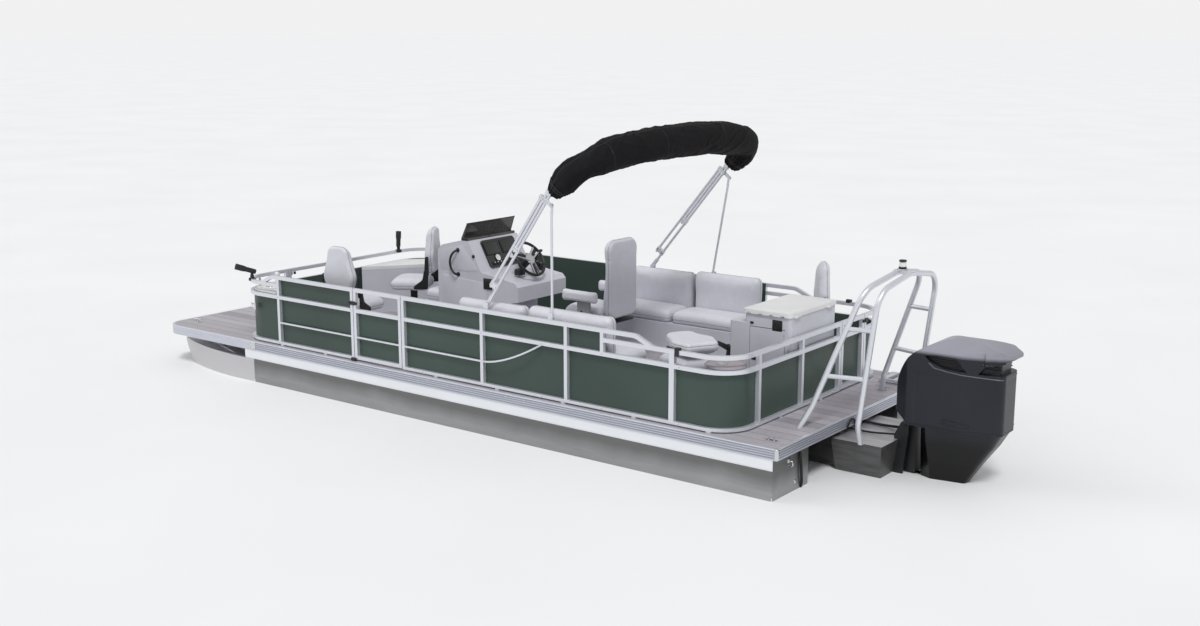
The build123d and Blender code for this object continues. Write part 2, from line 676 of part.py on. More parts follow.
CHAIR_SEAT_LOW = PEDESTAL_HEIGHT + 32
CHAIR_SEAT_TOP = CHAIR_SEAT_LOW + CUSHION
CHAIR_WIDTH = 430.0
BACK_HALF = CHAIR_WIDTH / 2 - 2
BACK_TOP = 1000.0
for chair_name, x, y, heading, folded in chairs:
    with BuildPart() as chair_seat:
        with BuildSketch(chair_plane(x, y, heading, PEDESTAL_HEIGHT + SEAT_GAP)):
            Circle(SWIVEL_RADIUS)
        extrude(amount=CHAIR_SEAT_LOW - PEDESTAL_HEIGHT)
        with BuildSketch(chair_plane(x, y, heading, CHAIR_SEAT_LOW)):
            with Locations((15, 0)):
                RectangleRounded(430, CHAIR_WIDTH, 80)
        extrude(amount=CUSHION)
        for ear in (1, -1):
            with BuildSketch(side_plane(x, y, heading, ear * (CHAIR_WIDTH / 2 + 14) + 5)):
                with BuildLine():
                    Polyline(
                        (-205, CHAIR_SEAT_LOW + 20), (-60, CHAIR_SEAT_LOW + 20), (-60, CHAIR_SEAT_LOW + 50),
                        (-170, CHAIR_HINGE_Z + 30), (-215, CHAIR_HINGE_Z + 30), close=True,
                    )
                make_face()
                with Locations((CHAIR_HINGE_X, CHAIR_HINGE_Z)):
                    Circle(PIN + PIN_FIT, mode=Mode.SUBTRACT)
            extrude(amount=10)
            with BuildSketch(side_plane(x, y, heading, ear * (CHAIR_WIDTH / 2) + 14)):
                with Locations((-150, CHAIR_SEAT_LOW + 35)):
                    Rectangle(60, 24)
            extrude(amount=28)
    save(chair_seat, f"{chair_name}_seat")
    with BuildPart() as chair_back:
        back_outline = side_plane(x, y, heading, CHAIR_WIDTH / 2 - 2)
        if folded:
            low, high = CHAIR_HINGE_Z - 30, CHAIR_HINGE_Z + 70
            with BuildSketch(chair_plane(x, y, heading, low)):
                with Locations(((CHAIR_HINGE_X - 40 + 270) / 2, 0)):
                    RectangleRounded(270 - CHAIR_HINGE_X + 40, CHAIR_WIDTH - 4, 100)
            extrude(amount=high - low)
        else:
            with BuildSketch(Plane(
                origin=chair_plane(x, y, heading, 0).from_local_coords((CHAIR_HINGE_X - 70, 0, 0)),
                x_dir=(-sin(radians(heading)), cos(radians(heading)), 0),
                z_dir=(cos(radians(heading)), sin(radians(heading)), 0),
            )):
                with BuildLine() as edge:
                    Polyline(
                        (-150, CHAIR_HINGE_Z - 40), (-BACK_HALF, 690), (-120, BACK_TOP), (120, BACK_TOP),
                        (BACK_HALF, 690), (150, CHAIR_HINGE_Z - 40), close=True,
                    )
                    fillet(edge.vertices().group_by(Axis.Y)[-1], 95)
                    fillet(edge.vertices().group_by(Axis.Y)[1], 160)
                    fillet(edge.vertices().group_by(Axis.Y)[0], 40)
                make_face()
            extrude(amount=100)
            with BuildSketch(chair_plane(x, y, heading, CHAIR_HINGE_Z - 60)):
                with Locations((CHAIR_HINGE_X + 5, 0)):
                    RectangleRounded(150, CHAIR_WIDTH - 4, 50)
            extrude(amount=600, mode=Mode.INTERSECT)
        for ear in (1, -1):
            with BuildSketch(side_plane(x, y, heading, ear * (CHAIR_WIDTH / 2 - 45) + 64)):
                with Locations((CHAIR_HINGE_X, CHAIR_HINGE_Z)):
                    Circle(PIN)
            extrude(amount=128)
    save(chair_back, f"{chair_name}_back")

# Helm chair
hx, hy = helm_chair_at
with BuildPart() as helm_chair_seat:
    with BuildSketch(chair_plane(hx, hy, 0, PEDESTAL_HEIGHT + SEAT_GAP)):
        Circle(SWIVEL_RADIUS)
    extrude(amount=CHAIR_SEAT_LOW - PEDESTAL_HEIGHT)
    with BuildSketch(chair_plane(hx, hy, 0, CHAIR_SEAT_LOW)):
        with Locations((30, 0)):
            RectangleRounded(480, 460, 80)
    extrude(amount=130)
save(helm_chair_seat, "helm_chair_seat")
with BuildPart() as helm_chair_back:
    with BuildSketch(Plane(origin=(from_stern(hx - 310), hy, DECK_TOP), x_dir=(0, 1, 0), z_dir=(1, 0, 0))):
        with Locations((0, (CHAIR_SEAT_LOW + 1130) / 2)):
            RectangleRounded(470, 1130 - CHAIR_SEAT_LOW, 110)
    extrude(amount=99.7)
    with BuildSketch(chair_plane(hx, hy, 0, CHAIR_SEAT_LOW - 10)):
        with Locations((-235, 0)):
            RectangleRounded(150, 470, 60)
    extrude(amount=900, mode=Mode.INTERSECT)
save(helm_chair_back, "helm_chair_back")
with BuildPart() as helm_chair_arms:
    for ear in (1, -1):
        rounded_block(hx - 205, hx + 190, hy + ear * 270 - 30, hy + ear * 270 + 30, 590, 650, 28)
        rounded_block(hx - 40, hx + 10, hy + ear * 244.3 - 14, hy + ear * 244.3 + 14, 420, 600, 6)
save(helm_chair_arms, "helm_chair_arms")

# Helm console
WHEEL_AT = Vector(from_stern(3700), -380, above_deck(790))
wheel_axis = Vector(-cos(radians(35)), 0, sin(radians(35)))
CONSOLE = (3960, 4620, -800, -80)
with BuildPart() as helm_console:
    with BuildSketch(Plane(origin=(0, CONSOLE[3], DECK_TOP), x_dir=(1, 0, 0), z_dir=(0, -1, 0))):
        with BuildLine():
            Polyline(
                (from_stern(CONSOLE[1]), 0), (from_stern(CONSOLE[1]), 830), (from_stern(4560), 885),
                (from_stern(4320), 945), (from_stern(4220), 945), (from_stern(4060), 660), (from_stern(3640), 600), (from_stern(3600), 560),
                (from_stern(3600), 420), (from_stern(CONSOLE[0]), 350), (from_stern(CONSOLE[0]), 0), close=True,
            )
        make_face()
    extrude(amount=CONSOLE[3] - CONSOLE[2])
    with BuildSketch(Plane(origin=WHEEL_AT - wheel_axis * 80, x_dir=(0, 1, 0), z_dir=-wheel_axis)):
        Circle(34)
    extrude(amount=215)
save(helm_console, "helm_console")

dash_base = Vector(from_stern(4060), 0, above_deck(660))
dash_top = Vector(from_stern(4220), 0, above_deck(945))
dash_dir = (dash_top - dash_base).normalized()
dash_normal = Vector(-dash_dir.Z, 0, dash_dir.X)
with BuildPart() as helm_dash:
    with BuildSketch(Plane(
        origin=((dash_base + dash_top) * 0.5 + dash_normal * SEAT_GAP + Vector(0, -470, 0)),
        x_dir=(0, 1, 0), z_dir=dash_normal,
    )):
        RectangleRounded(480, 290, 30)
    extrude(amount=12)
save(helm_dash, "helm_dash")

SCREEN_Z = 945 + SEAT_GAP
with BuildPart() as windscreen:
    with BuildSketch(Plane(origin=(STERN_X, CONSOLE[3] - 15, DECK_TOP), x_dir=(1, 0, 0), z_dir=(0, -1, 0))):
        with BuildLine():
            Polyline(
                (4318, SCREEN_Z), (4240, SCREEN_Z), (4240, SCREEN_Z + 24), (4286, SCREEN_Z + 24), (4236, SCREEN_Z + 165),
                (4244, SCREEN_Z + 168), (4318, SCREEN_Z + 24), close=True,
            )
        make_face()
    extrude(amount=CONSOLE[3] - CONSOLE[2] - 30)
save(windscreen, "windscreen")

wheel_plane = Plane(origin=WHEEL_AT, x_dir=(0, 1, 0), z_dir=wheel_axis)
WHEEL_RADIUS = 175.0
with BuildPart() as steering_wheel:
    with BuildSketch(Plane(origin=WHEEL_AT, x_dir=wheel_plane.x_dir, z_dir=wheel_plane.y_dir)):
        with Locations((WHEEL_RADIUS, 0)):
            Circle(14)
    revolve(axis=Axis(WHEEL_AT, wheel_axis))
    with BuildSketch(wheel_plane.offset(-14)):
        with PolarLocations(WHEEL_RADIUS / 2, 3, 90):
            Rectangle(WHEEL_RADIUS, 34)
        Circle(44)
    extrude(amount=14)
    with BuildSketch(wheel_plane.offset(-80 + SEAT_GAP)):
        Circle(20)
    extrude(amount=70)
save(steering_wheel, "steering_wheel")

# Aft console with a live well: an open box, its lid and a door in its port side
WELL = (450, 870, -395, 345)
WELL_TOP = 740.0
WELL_WALL = 14.0
DOOR = (500, 820, 110, 640)
DOOR_PIVOT = (DOOR[0] - 3, WELL[3] + 7)


def door_knuckle(heights, reach, y_low, y_high):
    """Knuckles on the door's pivot, each with a leaf between two distances from the console's side."""
    for low, high in heights:
        with BuildSketch(Plane.XY.offset(above_deck(low))) as half:
            with Locations((from_stern(DOOR_PIVOT[0]), DOOR_PIVOT[1])):
                Circle(5)
            with Locations((from_stern(DOOR_PIVOT[0] + reach / 2), WELL[3] + (y_low + y_high) / 2)):
                Rectangle(abs(reach), y_high - y_low)
        extrude(half.sketch, amount=high - low)


with BuildPart() as aft_console:
    rounded_block(*WELL, 0, WELL_TOP, 30)
    rounded_block(WELL[1] - 40, 1010, -60, WELL[3], 0, 660, 30)
    with BuildSketch(Plane.XY.offset(above_deck(60))):
        with Locations((from_stern((WELL[0] + WELL[1]) / 2), (WELL[2] + WELL[3]) / 2)):
            RectangleRounded(WELL[1] - WELL[0] - 2 * WELL_WALL, WELL[3] - WELL[2] - 2 * WELL_WALL, 20)
    extrude(amount=WELL_TOP, mode=Mode.SUBTRACT)
    cut_boxes([(DOOR[0], DOOR[1], WELL[3] - 30, WELL[3] + 30, DOOR[2], DOOR[3])])
    door_knuckle(((140, 180), (560, 600)), -19, -1, 5)
    lid_hinge(WELL[0] - 15, WELL_TOP, 16, -1, ((-300, -260), (220, 260)))
save(aft_console, "aft_console")
with BuildPart() as aft_console_lid:
    rounded_block(WELL[0] - 8, WELL[1] + 16, WELL[2] - 14, WELL[3] + 14, WELL_TOP + SEAT_GAP, WELL_TOP + 32, 40)
    lid_hinge(WELL[0] - 15, WELL_TOP, 8, 1, ((-259.5, -220), (260.5, 300)))
save(aft_console_lid, "aft_console_lid")
with BuildPart() as aft_console_door:
    rounded_block(DOOR[0] + 6, DOOR[1] - 6, WELL[3] - WELL_WALL, WELL[3] + 4, DOOR[2] + 6, DOOR[3] - 6, 2)
    door_knuckle(((180.5, 220), (600.5, 630)), 23, 3.5, 8)
save(aft_console_door, "aft_console_door")

# Bimini: three folded bows lie together, a boot hangs over their arch, two braces hold them
LEG_RADIUS = 12.5
leg_tops = {side: Vector(from_stern(LEG_TOP[side][0]), side * LEG_Y, above_deck(LEG_TOP[side][1])) for side in (1, -1)}
leg_bases = {side: Vector(from_stern(LEG_BASE[0]), side * LEG_Y, above_deck(LEG_BASE[1])) for side in (1, -1)}
leg_dirs = {side: (leg_tops[side] - leg_bases[side]).normalized() for side in (1, -1)}
arch_across = leg_tops[1] - leg_tops[-1]
boot_plane = Plane(
    origin=(leg_tops[1] + leg_tops[-1]) * 0.5, x_dir=arch_across,
    z_dir=arch_across.cross(leg_dirs[1] + leg_dirs[-1]),
)
HEAD = 40.0
# columns: distance ahead of the main bow, start along it, how far the top stays short of the boot
bows = ((0, 40, 30), (29, 560, 30), (58, 150, 75))
with BuildPart() as bimini_legs:
    for side in (1, -1):
        base = leg_bases[side]
        leg_dir = leg_dirs[side]
        length = (leg_tops[side] - base).length
        ahead = Vector(leg_dir.Z, 0, -leg_dir.X)
        for offset, start, short in bows:
            with BuildSketch(Plane(origin=base + leg_dir * start + ahead * offset, x_dir=(0, 1, 0), z_dir=leg_dir)):
                Circle(LEG_RADIUS)
            extrude(amount=length - short - start)
            with BuildSketch(Plane(
                origin=base + leg_dir * (start + 10) + ahead * (offset / 2), x_dir=(0, 1, 0), z_dir=leg_dir
            )):
                RectangleRounded(32, offset + 34, 10)
            extrude(amount=44)
        with BuildSketch(Plane(
            origin=base + leg_dir * (length - 110) + ahead * 29, x_dir=(0, 1, 0), z_dir=leg_dir
        )):
            RectangleRounded(30, 92, 12)
        extrude(amount=30)
        with BuildSketch(Plane(origin=base + Vector(0, 10, 0), x_dir=leg_dir, z_dir=(0, -1, 0))):
            with Locations((30, 0)):
                Rectangle(60, 30)
            Circle(20)
            Circle(PIN + PIN_FIT, mode=Mode.SUBTRACT)
        extrude(amount=20)
        across = side * arch_across.length / 2
        with BuildSketch(Plane(
            origin=boot_plane.from_local_coords((across, -SEAT_GAP, 14)), x_dir=boot_plane.x_dir,
            z_dir=-boot_plane.y_dir,
        )):
            RectangleRounded(36, 60, 12)
        extrude(amount=HEAD)
        lug = Vector(from_stern(BRACE_HEAD[side][0]), side * (LEG_Y + 4), above_deck(BRACE_HEAD[side][1]))
        reach = (base - lug).cross(leg_dir).cross(leg_dir) * -1
        with BuildSketch(Plane(origin=lug, x_dir=reach.normalized(), z_dir=(0, side, 0))):
            Circle(16)
            with Locations((38, 0)):
                Rectangle(76, 32)
        extrude(amount=6)
save(bimini_legs, "bimini_legs")

# The boot: a padded roll along the bows' arch, gathered round both heads
BOOT_RADIUS = 145.0
BOOT_END = 85.0
boot_half = arch_across.length / 2
boot_path = (
    (-boot_half - 10, 130), (-boot_half - 20, 300), (-500, 400), (300, 400), (boot_half - 110, 300),
    (boot_half - 20, 130),
)
with BuildPart() as bimini_boot:
    with BuildLine(boot_plane) as boot_line:
        FilletPolyline(*boot_path, radius=[150, 500, 900, 170])
    with BuildSketch(Plane(origin=boot_line.line @ 0, z_dir=boot_line.line % 0)):
        Circle(BOOT_RADIUS)
    sweep(path=boot_line.line)
    for share, foot in ((0, -boot_half + 10), (1, boot_half - 10)):
        tangent = boot_line.line % share
        with BuildSketch(Plane(origin=boot_line.line @ share, x_dir=boot_plane.z_dir, z_dir=tangent)):
            Circle(BOOT_RADIUS)
        with BuildSketch(Plane(
            origin=boot_plane.from_local_coords((foot, 0, 0)), x_dir=boot_plane.z_dir,
            z_dir=boot_plane.y_dir * (1 if share == 0 else -1),
        )):
            Circle(BOOT_END)
        loft()
save(bimini_boot, "bimini_boot")

# Each brace swings on a pin of the rail; its head lies beside a lug of the bows
with BuildPart() as bimini_braces:
    for side in (1, -1):
        foot = Vector(from_stern(BRACE_FOOT[0]), side * LEG_Y, above_deck(BRACE_FOOT[1]))
        head = Vector(from_stern(BRACE_HEAD[side][0]), side * LEG_Y, above_deck(BRACE_HEAD[side][1]))
        brace_length = (head - foot).length
        brace_dir = (head - foot).normalized()
        with BuildSketch(Plane(origin=foot + brace_dir * 12, x_dir=(0, 1, 0), z_dir=brace_dir)):
            Circle(11)
        extrude(amount=brace_length - 60)
        with BuildSketch(Plane(origin=foot + Vector(0, 10, 0), x_dir=(1, 0, 0), z_dir=(0, -1, 0))):
            Circle(16)
            Circle(PIN + PIN_FIT, mode=Mode.SUBTRACT)
        extrude(amount=20)
        plate = Plane(origin=foot + Vector(0, side * -1.5, 0), x_dir=brace_dir, z_dir=(0, -side, 0))
        with BuildSketch(plate):
            with Locations((brace_length - 35, 0)):
                Rectangle(70, 20)
            with Locations((brace_length, 0)):
                Circle(14)
        extrude(amount=8)
save(bimini_braces, "bimini_braces")

# Tow arch: two hoops joined by rungs
# columns: name, foot x, foot z, top x, half widths at the foot, at the bend above it and at the shoulder
ARCH_TUBE = 22.0
ARCH_TOP = 1140.0
hoops = (
    ("front", 160, 0, -265, 690, 610, 505),
    ("aft", -215, -130, -370, 420, 516, 508),
)
FOOT_BEND = 160.0
SHOULDER_DROP = 80.0
RUNG_HEIGHTS = (400.0, 770.0)


def hoop_plane(foot_x, foot_z, top_x):
    lean = Vector(top_x - foot_x, 0, ARCH_TOP - foot_z)
    up = lean.normalized()
    return Plane(
        origin=(from_stern(foot_x), 0, above_deck(foot_z)), x_dir=(0, 1, 0), z_dir=(up.Z, 0, -up.X)
    ), lean.length


def leg_point(row, side, height):
    """Centre of a hoop's leg this far above the deck, where the leg runs straight."""
    _, foot_x, foot_z, top_x, foot_y, bend_y, shoulder_y = row
    plane, length = hoop_plane(foot_x, foot_z, top_x)
    along = (height - foot_z) / (ARCH_TOP - foot_z) * length
    share = (along - FOOT_BEND) / (length - SHOULDER_DROP - FOOT_BEND)
    return plane.from_local_coords((side * (bend_y + (shoulder_y - bend_y) * share), along, 0))


with BuildPart() as tow_arch:
    for hoop_name, foot_x, foot_z, top_x, foot_y, bend_y, shoulder_y in hoops:
        plane, height = hoop_plane(foot_x, foot_z, top_x)
        foot_lean = (foot_y - bend_y) / FOOT_BEND * 20
        with BuildLine(plane) as hoop:
            FilletPolyline(
                (-foot_y - foot_lean, -20), (-bend_y, FOOT_BEND), (-shoulder_y, height - SHOULDER_DROP), (0, height),
                (shoulder_y, height - SHOULDER_DROP), (bend_y, FOOT_BEND), (foot_y + foot_lean, -20),
                radius=[120, 180, 400, 180, 120],
            )
        with BuildSketch(Plane(origin=hoop.wires()[0] @ 0, z_dir=hoop.wires()[0] % 0)):
            Circle(ARCH_TUBE)
        sweep(path=hoop.wires()[0])
    for side in (1, -1):
        for height in RUNG_HEIGHTS:
            start = leg_point(hoops[0], side, height)
            end = leg_point(hoops[1], side, height)
            with BuildSketch(Plane(origin=start, z_dir=end - start)):
                Circle(ARCH_TUBE * 0.8)
            extrude(amount=(end - start).length)
    with Locations((from_stern((hoops[0][3] + hoops[1][3]) / 2), 0, above_deck(ARCH_TOP + ARCH_TUBE - 10))):
        Box(150, 90, 6)
    cut_boxes([(60, 400, -1000, 1000, -100, SEAT_GAP), (-400, 30, -1000, 1000, -260, -130 + SEAT_GAP)])
save(tow_arch, "tow_arch")

# Boarding ladder, folded forward on the aft deck from its hinge behind the stern rub rail
LADDER_HINGE = (-30.0, 24.0)
LADDER_LENGTH = 330.0
with BuildPart() as boarding_ladder:
    for y in LADDER_SIDES:
        with BuildSketch(Plane(
            origin=(from_stern(LADDER_HINGE[0]), y - 12, above_deck(LADDER_HINGE[1])), x_dir=(1, 0, 0), z_dir=(0, 1, 0)
        )):
            with Locations((LADDER_LENGTH / 2, 0)):
                Rectangle(LADDER_LENGTH, 26)
            Circle(13)
            Circle(PIN + PIN_FIT, mode=Mode.SUBTRACT)
        extrude(amount=24)
    for step in (90, 190, 290):
        with Locations((
            from_stern(LADDER_HINGE[0] + step), (LADDER_SIDES[0] + LADDER_SIDES[1]) / 2, above_deck(LADDER_HINGE[1])
        )):
            Box(50, LADDER_SIDES[0] - LADDER_SIDES[1], 22)
save(boarding_ladder, "boarding_ladder")

# Outboard motor: clamp bracket, tilting swivel, steered leg with cowl and engine block, propeller
PROP_Z = -480.0
STEER_X = -470.0
STEER_PIN = 20.0
TILT_AT = (-430.0, -20.0)
COWL_LOW = 45.0
FLANGE = 13.7
COWL_WALL = 6.0


def upright(y):
    """Side view plane at this distance to port, its heights measured from the deck."""
    return Plane(origin=(STERN_X, y, DECK_TOP), x_dir=(1, 0, 0), z_dir=(0, -1, 0))


with BuildPart() as motor_bracket:
    for side in (1, -1):
        with BuildSketch(upright(side * 107 + 12)):
            with BuildLine():
                Polyline(
                    (-341.8, -420), (-380.5, -129.7), (-345, -129.7), (-345, -100), (-400, 10), (-460, 10),
                    (-462, -60), (-420, -420), close=True,
                )
            make_face()
            with Locations(TILT_AT):
                Circle(14 + PIN_FIT, mode=Mode.SUBTRACT)
        extrude(amount=24)
save(motor_bracket, "motor_bracket")

with BuildPart() as motor_swivel:
    with BuildSketch(upright(88)):
        with Locations(TILT_AT):
            Circle(30)
    extrude(amount=176)
    with BuildSketch(upright(60)):
        with Locations((-455, -205)):
            Rectangle(90, 370)
    extrude(amount=120)
    with BuildSketch(upright(125)):
        with Locations(TILT_AT):
            Circle(14)
    extrude(amount=250)
    with BuildSketch(Plane.XY.offset(above_deck(-400))):
        with Locations((from_stern(STEER_X), 0)):
            Circle(STEER_PIN + PIN_FIT)
    extrude(amount=450, mode=Mode.SUBTRACT)
save(motor_swivel, "motor_swivel")

# Cowl's plan from front to rear: x from the stern and half width
motor_plan = ((-375, 185), (-480, 238), (-900, 230), (-1190, 145))


def motor_outline(inset, front):
    """Cowl seen from above, cut off at a front limit."""
    rear = motor_plan[-1][0] + inset
    with BuildSketch() as outline:
        with BuildLine() as edge:
            Polyline(
                *[(max(min(x, front), rear) + STERN_X, y - inset) for x, y in motor_plan],
                *[(max(min(x, front), rear) + STERN_X, inset - y) for x, y in reversed(motor_plan)],
                close=True,
            )
            fillet(edge.vertices().group_by(Axis.X)[0], 75 - inset)
            fillet(edge.vertices().group_by(Axis.X)[-1], 50)
        make_face()
    return outline.sketch


# Vents under the cap: side views of the front one and of the one that wraps round the back
VENT_DEPTH = 38.0
front_vent = ((-612, 578), (-700, 592), (-850, 588), (-935, 492), (-760, 500), (-650, 540))
rear_vent = ((-1010, 484), (-1062, 545), (-1280, 592), (-1280, 484))
with BuildPart() as cowl_vents:
    with BuildSketch(Plane.XY.offset(above_deck(470))):
        with Locations((from_stern(-950), 0)):
            Rectangle(760, 620)
        add(motor_outline(VENT_DEPTH, -375 - VENT_DEPTH), mode=Mode.SUBTRACT)
    extrude(amount=140)
    with BuildSketch(upright(310)):
        for vent in (front_vent, rear_vent):
            with BuildLine():
                Polyline(*vent, close=True)
            make_face()
    extrude(amount=620, mode=Mode.INTERSECT)

# Cowl: the plan cut to its side view and crowned across, with a cap that overhangs the vents behind
CAP_TIP = (-1243.0, 622.0)
with BuildPart() as motor_cowl:
    with BuildSketch(Plane.XY.offset(above_deck(COWL_LOW))):
        add(motor_outline(0, -375))
    extrude(amount=680)
    with BuildSketch(Plane.XY.offset(above_deck(560))):
        with BuildLine() as cap_edge:
            Polyline(*[
                (from_stern(x), y) for x, y in ((-1060, 200), (CAP_TIP[0], 95), (CAP_TIP[0], -95), (-1060, -200))
            ], close=True)
            fillet(cap_edge.vertices().group_by(Axis.X)[0], 60)
        make_face()
    extrude(amount=160)
    with BuildSketch(upright(310)):
        with BuildLine():
            Polyline((-500, COWL_LOW), (-378, 122), (-372, 268))
            ThreePointArc((-372, 268), (-412, 424), (-492, 556))
            ThreePointArc((-492, 556), (-668, 668), (-881, 700))
            ThreePointArc((-881, 700), (-1070, 678), CAP_TIP)
            Polyline(CAP_TIP, (CAP_TIP[0] + 4, 604), (-1188, 586), (-1194, COWL_LOW), (-500, COWL_LOW))
        make_face()
    extrude(amount=620, mode=Mode.INTERSECT)
    with BuildSketch(Plane(origin=(from_stern(-350), 0, DECK_TOP), x_dir=(0, 1, 0), z_dir=(1, 0, 0))):
        with BuildLine():
            ThreePointArc((-250, 592), (0, 702), (250, 592))
            Polyline((250, 592), (250, 0), (-250, 0), (-250, 592))
        make_face()
    extrude(amount=-950, mode=Mode.INTERSECT)
    add(cowl_vents.part, mode=Mode.SUBTRACT)
    with BuildSketch(Plane.XY.offset(above_deck(COWL_LOW))):
        add(motor_outline(COWL_WALL, -505))
    extrude(amount=400, mode=Mode.SUBTRACT)
    for side in (1, -1):
        with Locations(Plane(
            origin=(from_stern(-865), side * 237, above_deck(76)), x_dir=(1, 0, 0), z_dir=(0, side, 0)
        )):
            Box(190, 34, 8, mode=Mode.SUBTRACT)
save(motor_cowl, "motor_cowl")

with BuildPart() as motor_block:
    rounded_block(-1000, -540, -150, 150, COWL_LOW + SEAT_GAP, 440, 30)
save(motor_block, "motor_block")

# Lower housing, from under the cowl to the plate over the propeller
# columns: height above the deck, front x, x of the widest point, rear x, half widths at front, widest point and rear
PAN_TOP = COWL_LOW - FLANGE
housing = (
    (PAN_TOP, -535, -640, -1180, 60, 230, 145),
    (-90, -535, -640, -1112, 60, 205, 120),
    (-250, -540, -640, -1000, 58, 140, 84),
    (-400, -545, -640, -905, 50, 96, 56),
    (-686, -560, -650, -820, 30, 52, 24),
)
with BuildPart() as motor_leg:
    for height, front, middle, rear, front_half, middle_half, rear_half in housing:
        with BuildSketch(Plane.XY.offset(above_deck(height))):
            with BuildLine() as edge:
                Polyline(*[(from_stern(x), y) for x, y in (
                    (front, front_half), (middle, middle_half), (rear, rear_half),
                    (rear, -rear_half), (middle, -middle_half), (front, -front_half),
                )], close=True)
                fillet(edge.vertices().group_by(Axis.X)[0], rear_half * 0.6)
            make_face()
    loft(ruled=True)
    with BuildSketch(Plane.XY.offset(above_deck(COWL_LOW - FLANGE - SEAT_GAP))):
        add(motor_outline(0, -440))
    extrude(amount=FLANGE)
    with Locations((from_stern(-505), 0, above_deck(-415))):
        Box(100, 76, 30)
    with BuildSketch(Plane.XY.offset(above_deck(-430))):
        with Locations((from_stern(STEER_X), 0)):
            Circle(STEER_PIN)
    extrude(amount=430 + COWL_LOW - FLANGE)
    with BuildSketch(Plane.XY.offset(-700)):
        with Locations((from_stern(-690), 0)):
            Ellipse(120, 14)
    extrude(amount=420)
    with BuildSketch(Plane.XY.offset(-290)):
        with BuildLine() as plate_edge:
            Polyline(*[
                (from_stern(x), y) for x, y in ((-560, 40), (-700, 110), (-935, 110), (-935, -110), (-700, -110), (-560, -40))
            ], close=True)
            fillet(plate_edge.vertices().group_by(Axis.X)[0], 50)
        make_face()
    extrude(amount=8)
    with BuildSketch(Plane(origin=(from_stern(-600), 0, PROP_Z), x_dir=(0, 1, 0), z_dir=(-1, 0, 0))):
        Circle(58)
    extrude(amount=250)
    with BuildSketch(Plane(origin=(from_stern(-600), 0, PROP_Z), x_dir=(0, 1, 0), z_dir=(1, 0, 0))):
        Circle(58)
    with BuildSketch(Plane(origin=(from_stern(-520), 0, PROP_Z), x_dir=(0, 1, 0), z_dir=(1, 0, 0))):
        Circle(16)
    loft()
save(motor_leg, "motor_leg")

with BuildPart() as propeller:
    with BuildSketch(Plane(origin=(from_stern(-850) - SEAT_GAP, 0, PROP_Z), x_dir=(0, 1, 0), z_dir=(-1, 0, 0))):
        Circle(52)
    extrude(amount=120)
    for blade in range(3):
        turn = radians(blade * 120)
        radial = Vector(0, sin(turn), cos(turn))
        across = Vector(-0.45, cos(turn) * 0.9, -sin(turn) * 0.9)
        hub = Vector(from_stern(-910), 0, PROP_Z)
        with BuildSketch(Plane(origin=hub + radial * 100 - across.cross(radial) * 3, x_dir=across, z_dir=across.cross(radial))):
            Circle(70)
        extrude(amount=6)
save(propeller, "propeller")
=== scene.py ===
import math

import bmesh
import bpy
from mathutils import Matrix, Vector, noise
from mathutils.bvhtree import BVHTree


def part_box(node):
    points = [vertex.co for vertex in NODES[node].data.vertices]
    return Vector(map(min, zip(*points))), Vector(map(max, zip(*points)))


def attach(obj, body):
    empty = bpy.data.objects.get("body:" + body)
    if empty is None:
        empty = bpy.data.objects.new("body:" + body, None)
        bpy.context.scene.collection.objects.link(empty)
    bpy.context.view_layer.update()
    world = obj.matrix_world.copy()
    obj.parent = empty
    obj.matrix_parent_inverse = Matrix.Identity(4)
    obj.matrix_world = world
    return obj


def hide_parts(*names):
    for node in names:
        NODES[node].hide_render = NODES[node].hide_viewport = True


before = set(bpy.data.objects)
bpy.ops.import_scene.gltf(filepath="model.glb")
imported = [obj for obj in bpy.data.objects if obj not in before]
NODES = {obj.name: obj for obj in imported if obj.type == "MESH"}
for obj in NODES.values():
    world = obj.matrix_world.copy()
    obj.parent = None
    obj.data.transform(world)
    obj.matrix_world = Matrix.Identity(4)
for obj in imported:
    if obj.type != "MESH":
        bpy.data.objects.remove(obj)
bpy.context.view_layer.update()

SCENE = bpy.context.scene
X, Y, Z = (Vector(row) for row in Matrix.Identity(3))
SIDES = (1, -1)

# The row frame starts at the deck's aft edge, on the middle line and on the deck's top; an edge piece
# lies behind the deck's boards
EDGE_PIECE = 0.022
STERN = round(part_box("deck")[0].x - EDGE_PIECE, 4)
DECK = round(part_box("deck")[1].z, 4)
ON_DECK = Matrix.Translation((STERN, 0, DECK))
IN_ROW = Matrix.Identity(4)
# Where the nose cones are welded to the tubes, along the row's x
NOSE_JOINT = 2.2


def at(x, y, z):
    """Row point from metres ahead of the deck's aft edge, to port, and above the deck."""
    return Vector((x + STERN, y, z + DECK))


# Materials
def linear(colour, factor=1.0):
    """Linear colour from 0 to 255 sRGB values, made lighter or darker by a factor."""
    shares = [value / 255 for value in colour]
    return (*(factor * (c / 12.92 if c <= 0.04045 else ((c + 0.055) / 1.055) ** 2.4) for c in shares), 1.0)


